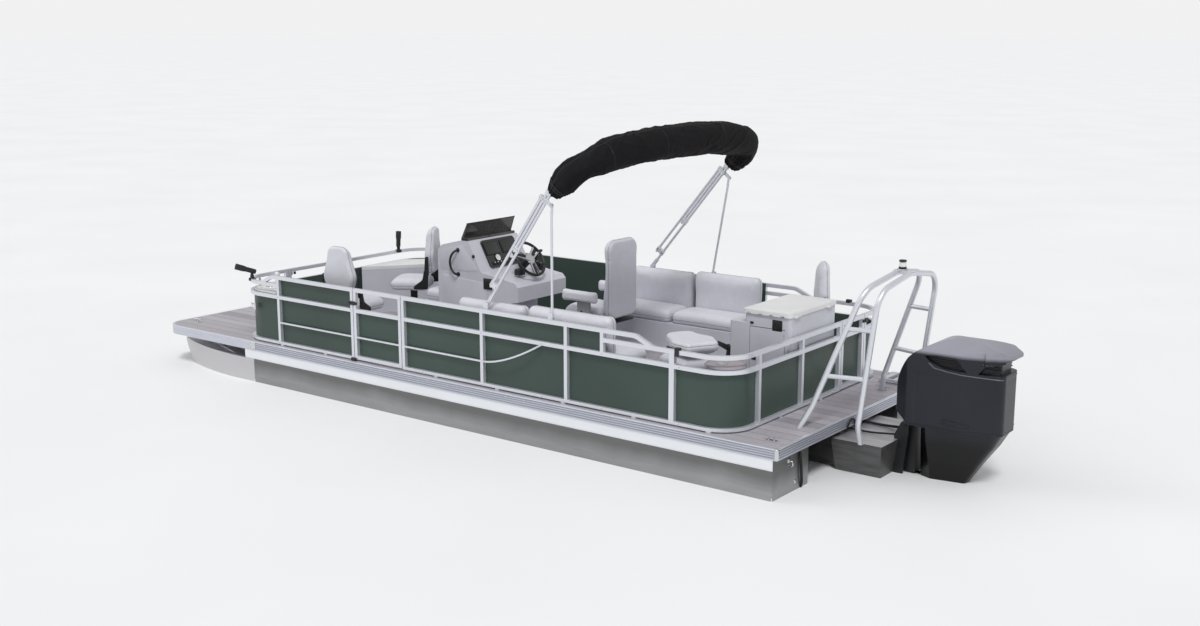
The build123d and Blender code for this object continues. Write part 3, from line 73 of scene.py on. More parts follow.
class Maker:
    """A node material with a few short ways to add nodes."""

    def __init__(self, name):
        self.mat = bpy.data.materials.new(name)
        self.mat.use_nodes = True
        self.tree = self.mat.node_tree
        self.coord = self.tree.nodes.new("ShaderNodeTexCoord").outputs["Object"]

    def feed(self, socket, value):
        """Link an output to a socket, or set the socket to a fixed value."""
        if isinstance(value, bpy.types.NodeSocket):
            self.tree.links.new(value, socket)
        else:
            socket.default_value = value

    def node(self, kind, inputs=None, **settings):
        made = self.tree.nodes.new("ShaderNode" + kind)
        for key, value in settings.items():
            setattr(made, key, value)
        for key, value in (inputs or {}).items():
            self.feed(made.inputs[key], value)
        return made

    def noise(self, scale, detail=3, rough=0.5, stretch=(1, 1, 1), distortion=0.0):
        where = self.node("Mapping", {"Vector": self.coord, "Scale": stretch}).outputs[0]
        inputs = {"Vector": where, "Scale": scale, "Detail": detail, "Roughness": rough,
                  "Distortion": distortion}
        return self.node("TexNoise", inputs).outputs["Fac"]

    def ramp(self, value, *colours, ends=(0.3, 0.7)):
        """Colours laid out along a value; a third one lies between the two ends."""
        made = self.node("ValToRGB", {"Fac": value})
        stops = made.color_ramp.elements
        stops[0].position, stops[1].position = ends[0], ends[-1]
        stops[0].color, stops[1].color = colours[0], colours[-1]
        if len(colours) > 2:
            stops.new(ends[1]).color = colours[1]
        return made.outputs["Color"]

    def tint(self, value, colour, dark, light, ends=(0.3, 0.7)):
        """One colour that goes from a darker to a lighter shade of itself along a value."""
        return self.ramp(value, linear(colour, dark), linear(colour, light), ends=ends)

    def math(self, operation, a, b=0.0):
        return self.node("Math", {0: a, 1: b}, operation=operation).outputs[0]

    def times(self, a, b):
        return self.math("MULTIPLY", a, b)

    def scaled(self, value, factor, start):
        """A value times a factor, on top of a start."""
        return self.math("ADD", self.times(value, factor), start)

    def blended(self, one, share, other):
        """A share of one value and the rest of another."""
        return self.scaled(one, share, self.times(other, 1 - share))

    def place(self, axis):
        """Where a point lies along an axis."""
        return self.node("SeparateXYZ", {"Vector": self.coord}).outputs[axis]

    def rise(self, value, low, high):
        """0 at low, 1 at high, even between."""
        return self.node("MapRange", {"Value": value, "From Min": low, "From Max": high}).outputs[0]

    def mix(self, factor, a, b):
        made = self.node("Mix", {0: factor, 6: a, 7: b}, data_type="RGBA")
        return made.outputs[2]

    def bump(self, height, strength, distance, normal=None):
        inputs = {"Height": height, "Strength": strength, "Distance": distance}
        if normal is not None:
            inputs["Normal"] = normal
        return self.node("Bump", inputs).outputs["Normal"]

    def done(self, colour, rough, normal=None, **fixed):
        shader = self.tree.nodes["Principled BSDF"]
        self.feed(shader.inputs["Base Color"], colour)
        self.feed(shader.inputs["Roughness"], rough)
        if normal is not None:
            self.feed(shader.inputs["Normal"], normal)
        for key, value in fixed.items():
            shader.inputs[key.replace("_", " ")].default_value = value
        return self.mat


def metal(name, colour, rough, stretch=(1, 1, 1), streak=0.12, metallic=1.0):
    """Drawn or rolled metal: streaks along one direction, cloudy tarnish, fine scratches."""
    m = Maker(name)
    cloud = m.noise(2.2, 4, 0.6)
    drawn = m.noise(40, 5, 0.65, stretch)
    tone = m.tint(m.blended(cloud, 0.6, drawn), colour, 1 - streak, 1 + streak / 2, (0.25, 0.75))
    return m.done(tone, m.scaled(drawn, 0.16, rough - 0.06), m.bump(drawn, 0.12, 0.0006), Metallic=metallic)


def plastic(name, colour, rough=0.4, grain=600.0, depth=0.12, metallic=0.0, vary=0.07, coat=0.0):
    """Moulded plastic or paint: faint cloudiness and a fine moulded grain."""
    m = Maker(name)
    cloud = m.noise(3.0, 3, 0.55)
    tone = m.tint(cloud, colour, 1 - vary, 1 + vary * 0.6)
    return m.done(tone, m.scaled(cloud, 0.12, rough - 0.06), m.bump(m.noise(grain, 2), depth, 0.0004),
                  Metallic=metallic, Coat_Weight=coat, Coat_Roughness=0.12)


def vinyl(name, colour):
    """Upholstery vinyl: pebbled grain, soft creases and painted shade in the creases' hollows."""
    m = Maker(name)
    cells = m.node("TexVoronoi", {"Vector": m.coord, "Scale": 420.0}, feature="DISTANCE_TO_EDGE")
    pebble = m.math("MINIMUM", cells.outputs["Distance"], 0.12)
    crease = m.noise(14, 5, 0.6, distortion=0.6)
    # Painted shade: the crease hollows are made slightly darker
    tone = m.tint(m.blended(crease, 0.5, m.noise(2.5)), colour, 0.9, 1.05)
    normal = m.bump(pebble, 0.35, 0.0012, m.bump(crease, 0.18, 0.004))
    return m.done(tone, m.scaled(crease, 0.15, 0.36), normal, Sheen_Weight=0.08)


def canvas(name, colour):
    """Woven canvas: a fine basket weave over soft folds, with painted highlights on the folds' crests and
    painted shade in their hollows.
    """
    m = Maker(name)
    threads = {"Vector": m.coord, "Scale": 260.0, "Distortion": 0.4}
    across, along = (m.node("TexWave", threads, bands_direction=axis).outputs["Fac"] for axis in "YX")
    weave = m.times(across, along)
    folds = m.noise(9, 6, 0.62, distortion=1.2)
    # Painted light and shade: the folds' crests are made lighter and their hollows darker
    tone = m.tint(m.blended(folds, 0.8, weave), colour, 0.65, 1.6, (0.25, 0.8))
    return m.done(tone, 0.78, m.bump(weave, 0.3, 0.0008, m.bump(folds, 0.5, 0.012)), Specular_IOR_Level=0.2)


def decking(name, board_width=0.128):
    """Plank-look vinyl flooring: boards along the boat with soft grain and dark joints."""
    m = Maker(name)
    board = m.times(m.place("Y"), 1 / board_width)
    part = m.math("FRACT", board)
    joint = m.math("LESS_THAN", m.math("MINIMUM", part, m.math("SUBTRACT", 1.0, part)), 0.018)
    tint = m.node("TexWhiteNoise", {"W": m.math("FLOOR", board)}, noise_dimensions="1D").outputs["Value"]
    grain = m.noise(26, 7, 0.7, (0.7, 9, 1), 0.5)
    fleck = m.noise(90, 3, 0.6, (1, 6, 1))
    tone = m.ramp(m.blended(grain, 0.75, tint), linear((134, 130, 137)), linear((168, 164, 171)),
                  linear((194, 190, 197)), ends=(0.25, 0.5, 0.8))
    height = m.math("SUBTRACT", m.times(fleck, 0.4), joint)
    return m.done(m.mix(joint, tone, linear((86, 85, 84))), 0.55, m.bump(height, 0.25, 0.0012))


def hull_metal(name):
    """Mill finish aluminium: long streaks, painted shade along the tubes' tops under the deck's edge, bright
    on the nose cones.
    """
    m = Maker(name)
    streak = m.noise(16, 6, 0.6, (0.2, 3, 3))
    cloud = m.noise(1.2, 4, 0.55, (0.5, 1, 2))
    tone = m.ramp(m.blended(streak, 0.4, cloud), linear((146, 147, 149)), linear((160, 161, 163)),
                  linear((174, 175, 177)), ends=(0.3, 0.55, 0.8))
    # Painted shade: the tubes turn darker towards their tops, where the deck's edge shades them
    wavy = m.scaled(m.noise(2.5, 3, 0.5, (1, 2, 0.5)), 0.1, m.place("Z"))
    with_painted_shade = m.mix(m.times(m.rise(wavy, 0.12, 0.24), 0.8), tone, linear((102, 104, 102)))
    nose = m.times(m.rise(m.place("X"), NOSE_JOINT - 0.005, NOSE_JOINT + 0.005), 0.85)
    return m.done(m.mix(nose, with_painted_shade, linear((212, 211, 214))), m.scaled(streak, 0.2, 0.3),
                  m.bump(streak, 0.08, 0.001), Metallic=0.8)


def pod_metal(name):
    """Plate of the engine pod: scuffed streaks, a painted lit tone on its upward faces and painted shade on
    its sides.
    """
    m = Maker(name)
    streak = m.noise(9, 6, 0.6, (0.4, 2, 2))
    turn = m.node("SeparateXYZ", {"Vector": m.node("NewGeometry").outputs["True Normal"]})
    # Painted shade on faces that turn sideways and a painted lit tone on faces that turn up
    side = m.ramp(streak, linear((84, 84, 84)), linear((112, 112, 113)))
    plate = m.ramp(streak, linear((186, 185, 188)), linear((212, 211, 215)))
    colour = m.mix(m.math("GREATER_THAN", turn.outputs["Z"], 0.6), side, plate)
    return m.done(colour, m.scaled(streak, 0.2, 0.32), m.bump(streak, 0.08, 0.001), Metallic=0.65)


def ribbed(name, low=0.323, high=0.395, pitch=0.018):
    """Rub rail: satin metal with painted shadow in its grooves, up to the nose joint, and a painted highlight
    along its top face.
    """
    m = Maker(name)
    drawn = m.noise(30, 5, 0.6, (0.15, 4, 4))
    tone = m.ramp(drawn, linear((192, 195, 206)), linear((208, 211, 222)))
    height = m.place("Z")
    rib = m.math("FRACT", m.times(m.math("SUBTRACT", height, low), 1 / pitch))
    groove = m.math("LESS_THAN", m.math("ABSOLUTE", m.math("SUBTRACT", rib, 0.5)), 0.25)
    for test, value, limit in (("GREATER_THAN", height, low), ("LESS_THAN", height, high),
                               ("LESS_THAN", m.place("X"), NOSE_JOINT)):
        groove = m.times(groove, m.math(test, value, limit))
    # Painted shadow darkens the grooves
    colour = m.mix(m.times(groove, 0.6), tone, linear((104, 106, 118)))
    # Painted highlight: the rail's top face is made near white where light falls on it
    lip = m.times(m.math("GREATER_THAN", height, high - 0.001), 0.8)
    colour = m.mix(lip, colour, linear((226, 229, 236)))
    return m.done(colour, m.scaled(drawn, 0.15, 0.3), m.bump(drawn, 0.08, 0.0006), Metallic=0.6)


def gloss_panel(name, colour):
    """Painted fence sheet: deep gloss with the slight waviness of thin sheet."""
    m = Maker(name)
    tone = m.tint(m.noise(1.1), colour, 0.9, 1.1)
    normal = m.bump(m.noise(900, 2), 0.05, 0.0003, m.bump(m.noise(1.6, 2, 0.4, (1, 1, 1.6)), 0.25, 0.02))
    return m.done(tone, 0.4, normal, Coat_Weight=0.12, Coat_Roughness=0.1, Specular_IOR_Level=0.25)


def motor_paint(name):
    """Charcoal cowl with a painted sky reflection that turns its crown silver grey, and a black pan, its
    edges softened under a satin coat.
    """
    m = Maker(name)
    cloud = m.noise(2.0)
    body = m.ramp(cloud, linear((27, 28, 36)), linear((35, 36, 45)))
    # Painted reflection: the crown's silver grey stands for the sky that the charcoal top reflects
    crown = m.ramp(cloud, linear((136, 137, 148)), linear((156, 157, 168)))
    height = m.place("Z")
    colour = m.mix(m.rise(height, 0.985, 1.015), body, crown)
    colour = m.mix(m.rise(height, 0.4, 0.3), colour, linear((10, 10, 13)))
    edges = m.node("Bevel", {"Radius": 0.022}, samples=6).outputs[0]
    normal = m.bump(m.noise(1200, 2), 0.04, 0.0003, edges)
    return m.done(colour, m.scaled(cloud, 0.08, 0.32), normal, Metallic=0.12, Coat_Weight=0.15,
                  Coat_Roughness=0.16, Specular_IOR_Level=0.3)


def tint_glass(name):
    """Smoked acrylic with a faint haze."""
    m = Maker(name)
    tone = m.ramp(m.noise(5), linear((74, 72, 72)), linear((88, 86, 85)))
    return m.done(tone, 0.08, Transmission_Weight=0.6, IOR=1.45)


MATS = {
    "rail": metal("satin_rail", (222, 224, 231), 0.34, streak=0.06, metallic=0.6),
    "hull": hull_metal("mill_aluminium"),
    "pod": pod_metal("pod_aluminium"),
    "extrusion": ribbed("ribbed_aluminium"),
    # Chine strips and weld beads: pale metal made lighter still with painted light, for the light their
    # outward faces catch
    "strip": metal("strip_aluminium_painted_lit", (236, 238, 242), 0.34, (0.15, 4, 4), 0.05, 0.35),
    "panel": gloss_panel("green_grey_paint", (60, 75, 69)),
    "deck": decking("plank_vinyl"),
    "vinyl": vinyl("grey_vinyl", (210, 211, 219)),
    "vinyl_dark": vinyl("dark_grey_vinyl", (150, 151, 156)),
    "moulded": plastic("grey_moulding", (200, 201, 210), 0.42, 380, 0.2),
    "tray": plastic("pale_moulding", (226, 226, 227), 0.36, 380, 0.12),
    "black": plastic("black_plastic", (28, 29, 31), 0.42, 700, 0.2),
    "rubber": plastic("black_rubber", (22, 22, 23), 0.68, 500, 0.3),
    "canvas": canvas("black_canvas", (15, 14, 17)),
    "motor": motor_paint("charcoal_paint"),
    "motor_cap": plastic("silver_grey_paint", (104, 106, 112), 0.3, 900, 0.05, 0.55, 0.05, 0.4),
    "steel": metal("polished_steel", (214, 215, 217), 0.16, streak=0.04),
    # Stern corner table: grey moulding with a painted pink reflection in its tone
    "cup": plastic("grey_moulding_painted_pink_reflection", (160, 152, 158), 0.4, 380, 0.12),
    "glow": plastic("white_dial", (226, 228, 230), 0.3, 500, 0.05),
    "lens": plastic("pale_lens", (226, 230, 232), 0.14, 500, 0.03, 0.0, 0.04, 0.5),
    "screen": plastic("dark_display", (16, 17, 20), 0.12, 900, 0.02, 0.0, 0.03, 0.6),
    "tint": tint_glass("smoked_acrylic"),
}

# columns: name, metres ahead, metres to port, heading in degrees, back folded down
CHAIRS = (
    ("bow_port", 4.84, 0.8, 275, False),
    ("bow_starboard", 5.21, -0.33, 30, False),
    ("aft_port", 1.04, 0.85, 330, True),
    ("aft_starboard", 1.028, -0.794, 37, False),
)
GATES = ("port", "bow", "stern")

CAD_LOOK = {
    "rail": ("fence_port", "fence_starboard", "fence_bow", "bimini_legs", "bimini_braces", "tow_arch",
             "boarding_ladder", "cross_channels", *(f"gate_{gate}_frame" for gate in GATES)),
    "hull": ("tube_port", "tube_starboard"),
    "pod": ("tube_centre", "motor_pod"),
    "extrusion": ("rub_rails",),
    "strip": ("chine_strips",),
    "panel": ("fence_panels", *(f"gate_{gate}_panel" for gate in GATES)),
    "deck": ("deck",),
    "moulded": ("lounge_bases", "bow_locker", "helm_console", "aft_console", "aft_console_door"),
    "tray": ("bow_locker_lid", "aft_console_lid"),
    "vinyl": ("lounge_seats", "lounge_backs", "helm_chair_seat", "helm_chair_back", "helm_chair_arms",
              *(f"{chair[0]}_chair_{half}" for chair in CHAIRS for half in ("seat", "back"))),
    "black": ("chair_pedestals", "steering_wheel", "motor_block", "propeller", "gate_hinges", "motor_bracket",
              "motor_swivel"),
    "screen": ("helm_dash",),
    "tint": ("windscreen",),
    "motor": ("motor_cowl", "motor_leg"),
    "canvas": ("bimini_boot",),
}
for look, names in CAD_LOOK.items():
    for node_name in names:
        held = NODES[node_name].data.materials
        held.clear()
        held.append(MATS[look])


# Forms
def circle(radius, sides, x=0.0, y=0.0):
    """Points round a circle, as pairs."""
    turns = (2 * math.pi * k / sides for k in range(sides))
    return [(x + radius * math.cos(a), y + radius * math.sin(a)) for a in turns]


def shift(x, y, z):
    return Matrix.Translation((x, y, z))


def spin(degrees, axis="Z"):
    return Matrix.Rotation(math.radians(degrees), 4, axis)


def turned(centre, axis):
    """Matrix that puts the local z axis along a direction, at a point."""
    return Matrix.Translation(centre) @ Vector(axis).to_track_quat("Z", "Y").to_matrix().to_4x4()


def standing(y):
    """Local frame of an upright plate that faces starboard: x ahead, y up, thickness towards -y."""
    return Matrix(((1, 0, 0, 0), (0, 0, -1, y), (0, 1, 0, 0), (0, 0, 0, 1)))


# Local frames of a chair's back: upright, with its outline across and up, and folded down onto the seat
UPRIGHT = Matrix(((0, 0, 1, 0), (1, 0, 0, 0), (0, 1, 0, 0), (0, 0, 0, 1)))
FOLDED = Matrix(((0, 1, 0, 0), (1, 0, 0, 0), (0, 0, -1, 0), (0, 0, 0, 1)))


def rounded(points, radii, arc=7):
    """A closed outline with each corner turned into an arc."""
    out = []
    count = len(points)
    radii = [radii] * count if isinstance(radii, (int, float)) else radii
    for i, radius in enumerate(radii):
        corner, before, after = Vector(points[i]), Vector(points[i - 1]), Vector(points[(i + 1) % count])
        if radius <= 0:
            out.append(corner)
            continue
        u, v = (before - corner).normalized(), (after - corner).normalized()
        half = u.angle(v) / 2
        sweep = math.pi - 2 * half
        centre = corner + (u + v).normalized() * radius / math.sin(half)
        start = corner + u * radius / math.tan(half) - centre
        end = corner + v * radius / math.tan(half) - centre
        for k in range(arc + 1):
            a, b = (math.sin(share * sweep) / math.sin(sweep) for share in (1 - k / arc, k / arc))
            out.append(centre + start * a + end * b)
    return out


def box_outline(length, width, radius, x=0.0, y=0.0):
    a, b = length / 2, width / 2
    return rounded([(x + a, y + b), (x - a, y + b), (x - a, y - b), (x + a, y - b)], radius)


def smooth_path(points, step):
    """Points at even steps along the smooth line that a few control points make."""
    data = bpy.data.curves.new("path", "CURVE")
    data.dimensions = "3D"
    data.resolution_u = 24
    line = data.splines.new("NURBS")
    line.points.add(len(points) - 1)
    for held, point in zip(line.points, points):
        held.co = (*point, 1.0)
    line.order_u = 3
    line.use_endpoint_u = True
    holder = bpy.data.objects.new("path", data)
    SCENE.collection.objects.link(holder)
    mesh = bpy.data.meshes.new_from_object(holder.evaluated_get(bpy.context.evaluated_depsgraph_get()))
    found = [v.co.copy() for v in mesh.vertices]
    bpy.data.objects.remove(holder)
    bpy.data.curves.remove(data)
    bpy.data.meshes.remove(mesh)
    out, gone = [found[0]], 0.0
    for a, b in zip(found, found[1:]):
        run = (b - a).length
        while run > 1e-9 and gone + run >= step:
            a = a.lerp(b, (step - gone) / run)
            out.append(a.copy())
            run = (b - a).length
            gone = 0.0
        gone += run
    if (out[-1] - found[-1]).length > step * 0.3:
        out.append(found[-1])
    return out


class Forms:
    """Simple closed forms gathered into one mesh piece."""

    def __init__(self, place=ON_DECK):
        self.mesh = bmesh.new()
        self.place = place

    def skin(self, rings, closed=False, local=IN_ROW):
        """Faces between rings of points, with a face over each end unless the rings close."""
        move = self.place @ local
        rows = [[self.mesh.verts.new(move @ Vector(p)) for p in ring] for ring in rings]
        for low, high in list(zip(rows, rows[1:])) + ([(rows[-1], rows[0])] if closed else []):
            for i in range(len(low)):
                j = (i + 1) % len(low)
                self.mesh.faces.new((low[i], low[j], high[j], high[i]))
        if not closed:
            self.mesh.faces.new(rows[0][::-1])
            self.mesh.faces.new(rows[-1])

    def prism(self, outline, low, high, edge, local=IN_ROW, steps=3):
        """An outline drawn up between two heights, with rounded edges."""
        outline = [Vector(p) for p in outline]
        following = outline[1:] + outline[:1]
        area = sum(a.x * b.y - a.y * b.x for a, b in zip(outline, following))
        sign = 1 if area > 0 else -1
        outward = []
        for before, after in zip(outline[-1:] + outline[:-1], following):
            along = after - before
            outward.append(Vector((along.y, -along.x)).normalized() * sign)
        quarter = [math.pi / 2 * k / steps for k in range(steps + 1)]
        levels = [(edge * (1 - math.cos(a)), low + edge * (1 - math.sin(a))) for a in reversed(quarter)]
        levels += [(edge * (1 - math.cos(a)), high - edge * (1 - math.sin(a))) for a in quarter]
        rings = [[(*(p - n * inset), height) for p, n in zip(outline, outward)][::sign]
                 for inset, height in levels]
        self.skin(rings, local=local)

    def block(self, centre, size, edge=0.002, turn=IN_ROW):
        """A box with rounded corners about a centre, turned by a matrix."""
        x, y, z = size
        corner = min(edge * 1.5, x * 0.45, y * 0.45)
        self.prism(box_outline(x, y, corner), -z / 2, z / 2, edge, Matrix.Translation(centre) @ turn)

    def blocks(self, *rows):
        """Boxes from rows of centre, size and edge."""
        for centre, size, edge in rows:
            self.block(centre, size, edge)

    def lathe(self, profile, centre, axis=Z, sides=28):
        """A turned form: pairs of radius and distance along the axis, from one end to the other."""
        rings = [[(*p, height) for p in circle(max(radius, 1e-4), sides)] for radius, height in profile]
        self.skin(rings, local=turned(centre, axis))

    def rod(self, start, end, radius):
        start, end = Vector(start), Vector(end)
        length = (end - start).length
        edge = min(radius, length) * 0.2
        profile = [(radius - edge, 0), (radius, edge), (radius, length - edge), (radius - edge, length)]
        self.lathe(profile, start, end - start, 16)

    def bolt(self, centre, axis, radius=0.006, height=0.004):
        """A domed fastener's head on a washer."""
        washer, foot = radius * 1.6, height * 0.3
        profile = [(washer, 0), (washer, foot), (radius, foot), (radius * 0.96, height * 0.8),
                   (radius * 0.6, height), (0, height)]
        self.lathe(profile, centre, axis, 12)

    def ball(self, centre, radius, squash=1.0, axis=Z, steps=8):
        turns = [math.pi * k / steps for k in range(steps + 1)]
        self.lathe([(radius * math.sin(a), -radius * squash * math.cos(a)) for a in turns], centre, axis, 20)

    def tube(self, points, radius, sides=12, closed=False):
        """A round bar along points, its sections turned as little as possible."""
        points = [Vector(p) for p in points]
        count = len(points)
        radii = radius if isinstance(radius, list) else [radius] * count
        rings, side = [], None
        for i, point in enumerate(points):
            before = points[i - 1] if closed or i else point
            after = points[(i + 1) % count] if closed or i < count - 1 else point
            along = (after - before).normalized()
            side = (side - along * side.dot(along)) if side else along.orthogonal()
            side.normalize()
            up = along.cross(side)
            rings.append([point + side * a + up * b for a, b in circle(radii[i], sides)])
        self.skin(rings, closed=closed)

    def ring(self, centre, axis, radius, thick, steps=40):
        place = turned(centre, axis)
        self.tube([place @ Vector((*p, 0)) for p in circle(radius, steps)], thick, closed=True)

    def built(self, name, crease=0.62):
        """One smooth mesh of the forms, with sharp edges where faces meet at more than the crease angle."""
        bmesh.ops.recalc_face_normals(self.mesh, faces=self.mesh.faces)
        for face in self.mesh.faces:
            face.smooth = True
        for edge in self.mesh.edges:
            if len(edge.link_faces) == 2 and edge.calc_face_angle(0.0) > crease:
                edge.smooth = False
        mesh = bpy.data.meshes.new(name)
        self.mesh.to_mesh(mesh)
        self.mesh.free()
        return mesh

    def done(self, name, look, body="hull", crease=0.62):
        return lay(self.built(name, crease), name, look, body)


def lay(mesh, name, look, body):
    """Make a piece of a mesh that is in place, riding a body."""
    mesh.materials.clear()
    mesh.materials.append(MATS[look])
    piece = bpy.data.objects.new(name, mesh)
    SCENE.collection.objects.link(piece)
    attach(piece, body)
    return piece


# Cushions
def evaluated(piece):
    graph = bpy.context.evaluated_depsgraph_get()
    return bpy.data.meshes.new_from_object(piece.evaluated_get(graph), depsgraph=graph)


def applied(piece, kind, **settings):
    """Give a piece a modifier and make its result the piece's own mesh."""
    modifier = piece.modifiers.new("shape", kind)
    for key, value in settings.items():
        setattr(modifier, key, value)
    piece.data = evaluated(piece)
    piece.modifiers.clear()


def swell(piece, cap, pressure=4.0, frames=20):
    """Blow a pad up a little with cloth, moving no point further than cap."""
    cloth = piece.modifiers.new("cloth", "CLOTH")
    for key, value in {
        "quality": 5, "mass": 0.3, "tension_stiffness": 12, "compression_stiffness": 12, "shear_stiffness": 4,
        "bending_stiffness": 0.4, "use_pressure": True, "uniform_pressure_force": pressure,
    }.items():
        setattr(cloth.settings, key, value)
    cloth.settings.effector_weights.gravity = 0
    cloth.collision_settings.use_collision = False
    cloth.point_cache.frame_start = 1
    cloth.point_cache.frame_end = frames
    for frame_number in range(1, frames + 1):
        SCENE.frame_set(frame_number)
    blown = evaluated(piece)
    piece.modifiers.clear()
    SCENE.frame_set(1)
    for vertex, moved in zip(piece.data.vertices, blown.vertices):
        push = moved.co - vertex.co
        if push.length > cap:
            push *= cap / push.length
        vertex.co += push
    bpy.data.meshes.remove(blown)


def cushion(outline, low, high, edge, pinches=(), voxel=0.013, cap=0.014, crown=0.014, shape=None):
    """A stuffed pad on an outline, flat below: remeshed, blown up, pinched along planes and smoothed.

    A pinch is an axis, a place along it, how wide it is and how deep. The first is the pad's seam.
    Gives the pad's mesh and its seam, as axis and place.
    """
    form = Forms(IN_ROW)
    form.prism(outline, low, high, edge)
    piece = bpy.data.objects.new("pad", form.built("pad"))
    SCENE.collection.objects.link(piece)
    applied(piece, "REMESH", mode="VOXEL", voxel_size=voxel)
    xs, ys = zip(*outline)
    middle = Vector(((min(xs) + max(xs)) / 2, (min(ys) + max(ys)) / 2, (low + high) / 2))
    half = Vector(((max(xs) - min(xs)) / 2, (max(ys) - min(ys)) / 2))
    for vertex in piece.data.vertices:
        p = vertex.co
        u, v = (p.x - middle.x) / half.x, (p.y - middle.y) / half.y
        share = (p.z - low) / (high - low)
        p.z += crown * max(0.0, 1 - u * u) * max(0.0, 1 - v * v) * share
        if shape:
            shape(p, u, v, share)
    swell(piece, cap)
    applied(piece, "SUBSURF", levels=1)
    for vertex in piece.data.vertices:
        p = vertex.co
        for axis, place, width, depth in pinches:
            away = abs(p.dot(axis) - place)
            if away < width:
                inward = middle - p
                inward -= axis * inward.dot(axis)
                p += inward.normalized() * depth * (1 - away / width) ** 2
        p.z = max(p.z, low)
    for face in piece.data.polygons:
        face.use_smooth = True
    mesh = piece.data
    bpy.data.objects.remove(piece)
    return mesh, [pinch[:2] for pinch in pinches[:1]]


def seam_lines(mesh, axis, place):
    """Closed loops where a plane across an axis cuts a mesh."""
    cutter = bmesh.new()
    cutter.from_mesh(mesh)
    everything = cutter.verts[:] + cutter.edges[:] + cutter.faces[:]
    cut = bmesh.ops.bisect_plane(cutter, geom=everything, plane_co=axis * place, plane_no=axis)["geom_cut"]
    linked = {}
    for item in cut:
        if isinstance(item, bmesh.types.BMEdge):
            a, b = item.verts
            linked.setdefault(a, []).append(b)
            linked.setdefault(b, []).append(a)
    loops, seen = [], set()
    for start in linked:
        if start in seen:
            continue
        loop, here, came = [], start, None
        while here not in seen:
            seen.add(here)
            loop.append(here.co.copy())
            onward = [v for v in linked[here] if v is not came and v not in seen]
            if not onward:
                break
            came, here = here, onward[0]
        if len(loop) > 12:
            loops.append(loop)
    cutter.free()
    return loops


def welt(forms, mesh, axis, place, step=0.009):
    """Piping along a pad's seam."""
    for loop in seam_lines(mesh, axis, place):
        even, gone = [loop[0]], 0.0
        for a, b in zip(loop, loop[1:]):
            gone += (b - a).length
            if gone >= step:
                even.append(b)
                gone = 0.0
        forms.tube(even, 0.0028, 6, closed=True)


def pad(made, name, place, body, node):
    """Lay a copy of a cushion in place for a CAD node, with piping along its seam."""
    mesh, seams = made
    laid = mesh.copy()
    laid.transform(place)
    piece = lay(laid, name, "vinyl", body)
    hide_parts(node)
    for seam in seams:
        forms = Forms(place)
        welt(forms, mesh, *seam)
        forms.done(name + "_piping", "vinyl_dark", body)


# Fishing chairs
def bulge(height, along, middle, width):
    """A soft rise of some height about a place along a pad."""
    return height * math.exp(-((along - middle) / width) ** 2)


def chair_back_shape(p, u, v, share):
    """A back that thins towards its top and hollows a little where a person leans on it."""
    p.z -= 0.022 * max(0.0, v) ** 2 * share
    p.z -= bulge(0.01 * share, v, 0.15, 0.35) * max(0.0, 1 - u * u)


def seat_shape(p, u, v, share):
    """A seat that rolls down at its front edge and dishes slightly."""
    p.z -= 0.018 * share * max(0.0, u - 0.35) ** 2 * 2.2
    p.z -= 0.008 * share * math.exp(-(u * u + v * v) / 0.22)


def swivel_plate(forms):
    """The plate that turns on a pedestal, under a seat."""
    forms.lathe([(0.06, 0), (0.09, 0), (0.09, 0.008), (0.05, 0.0115)], (0, 0, SWIVEL_TOP))


SWIVEL_TOP = 0.3404
SEAT_UNDER = 0.3523
BACK_LOW, BACK_HIGH = 0.008, 0.088
BACK_SEAM = (Z, 0.034, 0.014, 0.004)
# A fishing chair's hinge, from its pedestal's axis: metres ahead and above the deck
HINGE = (-0.19, 0.54)

chair_seat = cushion(
    box_outline(0.414, 0.414, 0.085, 0.015), SEAT_UNDER, 0.45, 0.034, ((Z, 0.392, 0.014, 0.004),),
    shape=seat_shape,
)
back_outline = rounded(
    [(0.112, 0.992), (-0.112, 0.992), (-0.205, 0.69), (-0.145, 0.508), (0.145, 0.508), (0.205, 0.69)],
    [0.09, 0.09, 0.15, 0.04, 0.04, 0.15],
)
chair_back = cushion(
    back_outline, BACK_LOW, BACK_HIGH, 0.032, (BACK_SEAM, (Y, 0.6, 0.02, 0.004)), crown=0.01,
    shape=chair_back_shape,
)
arm_outline = rounded(
    [(-0.06, 0.374), (-0.06, 0.404), (-0.15, 0.47), (-0.168, 0.57), (-0.214, 0.57), (-0.205, 0.374)],
    [0.006, 0.012, 0.05, 0.016, 0.016, 0.02],
)
plate_outline = rounded([(-0.166, 0.512), (-0.178, 0.7), (-0.214, 0.712), (-0.216, 0.512)], 0.014)
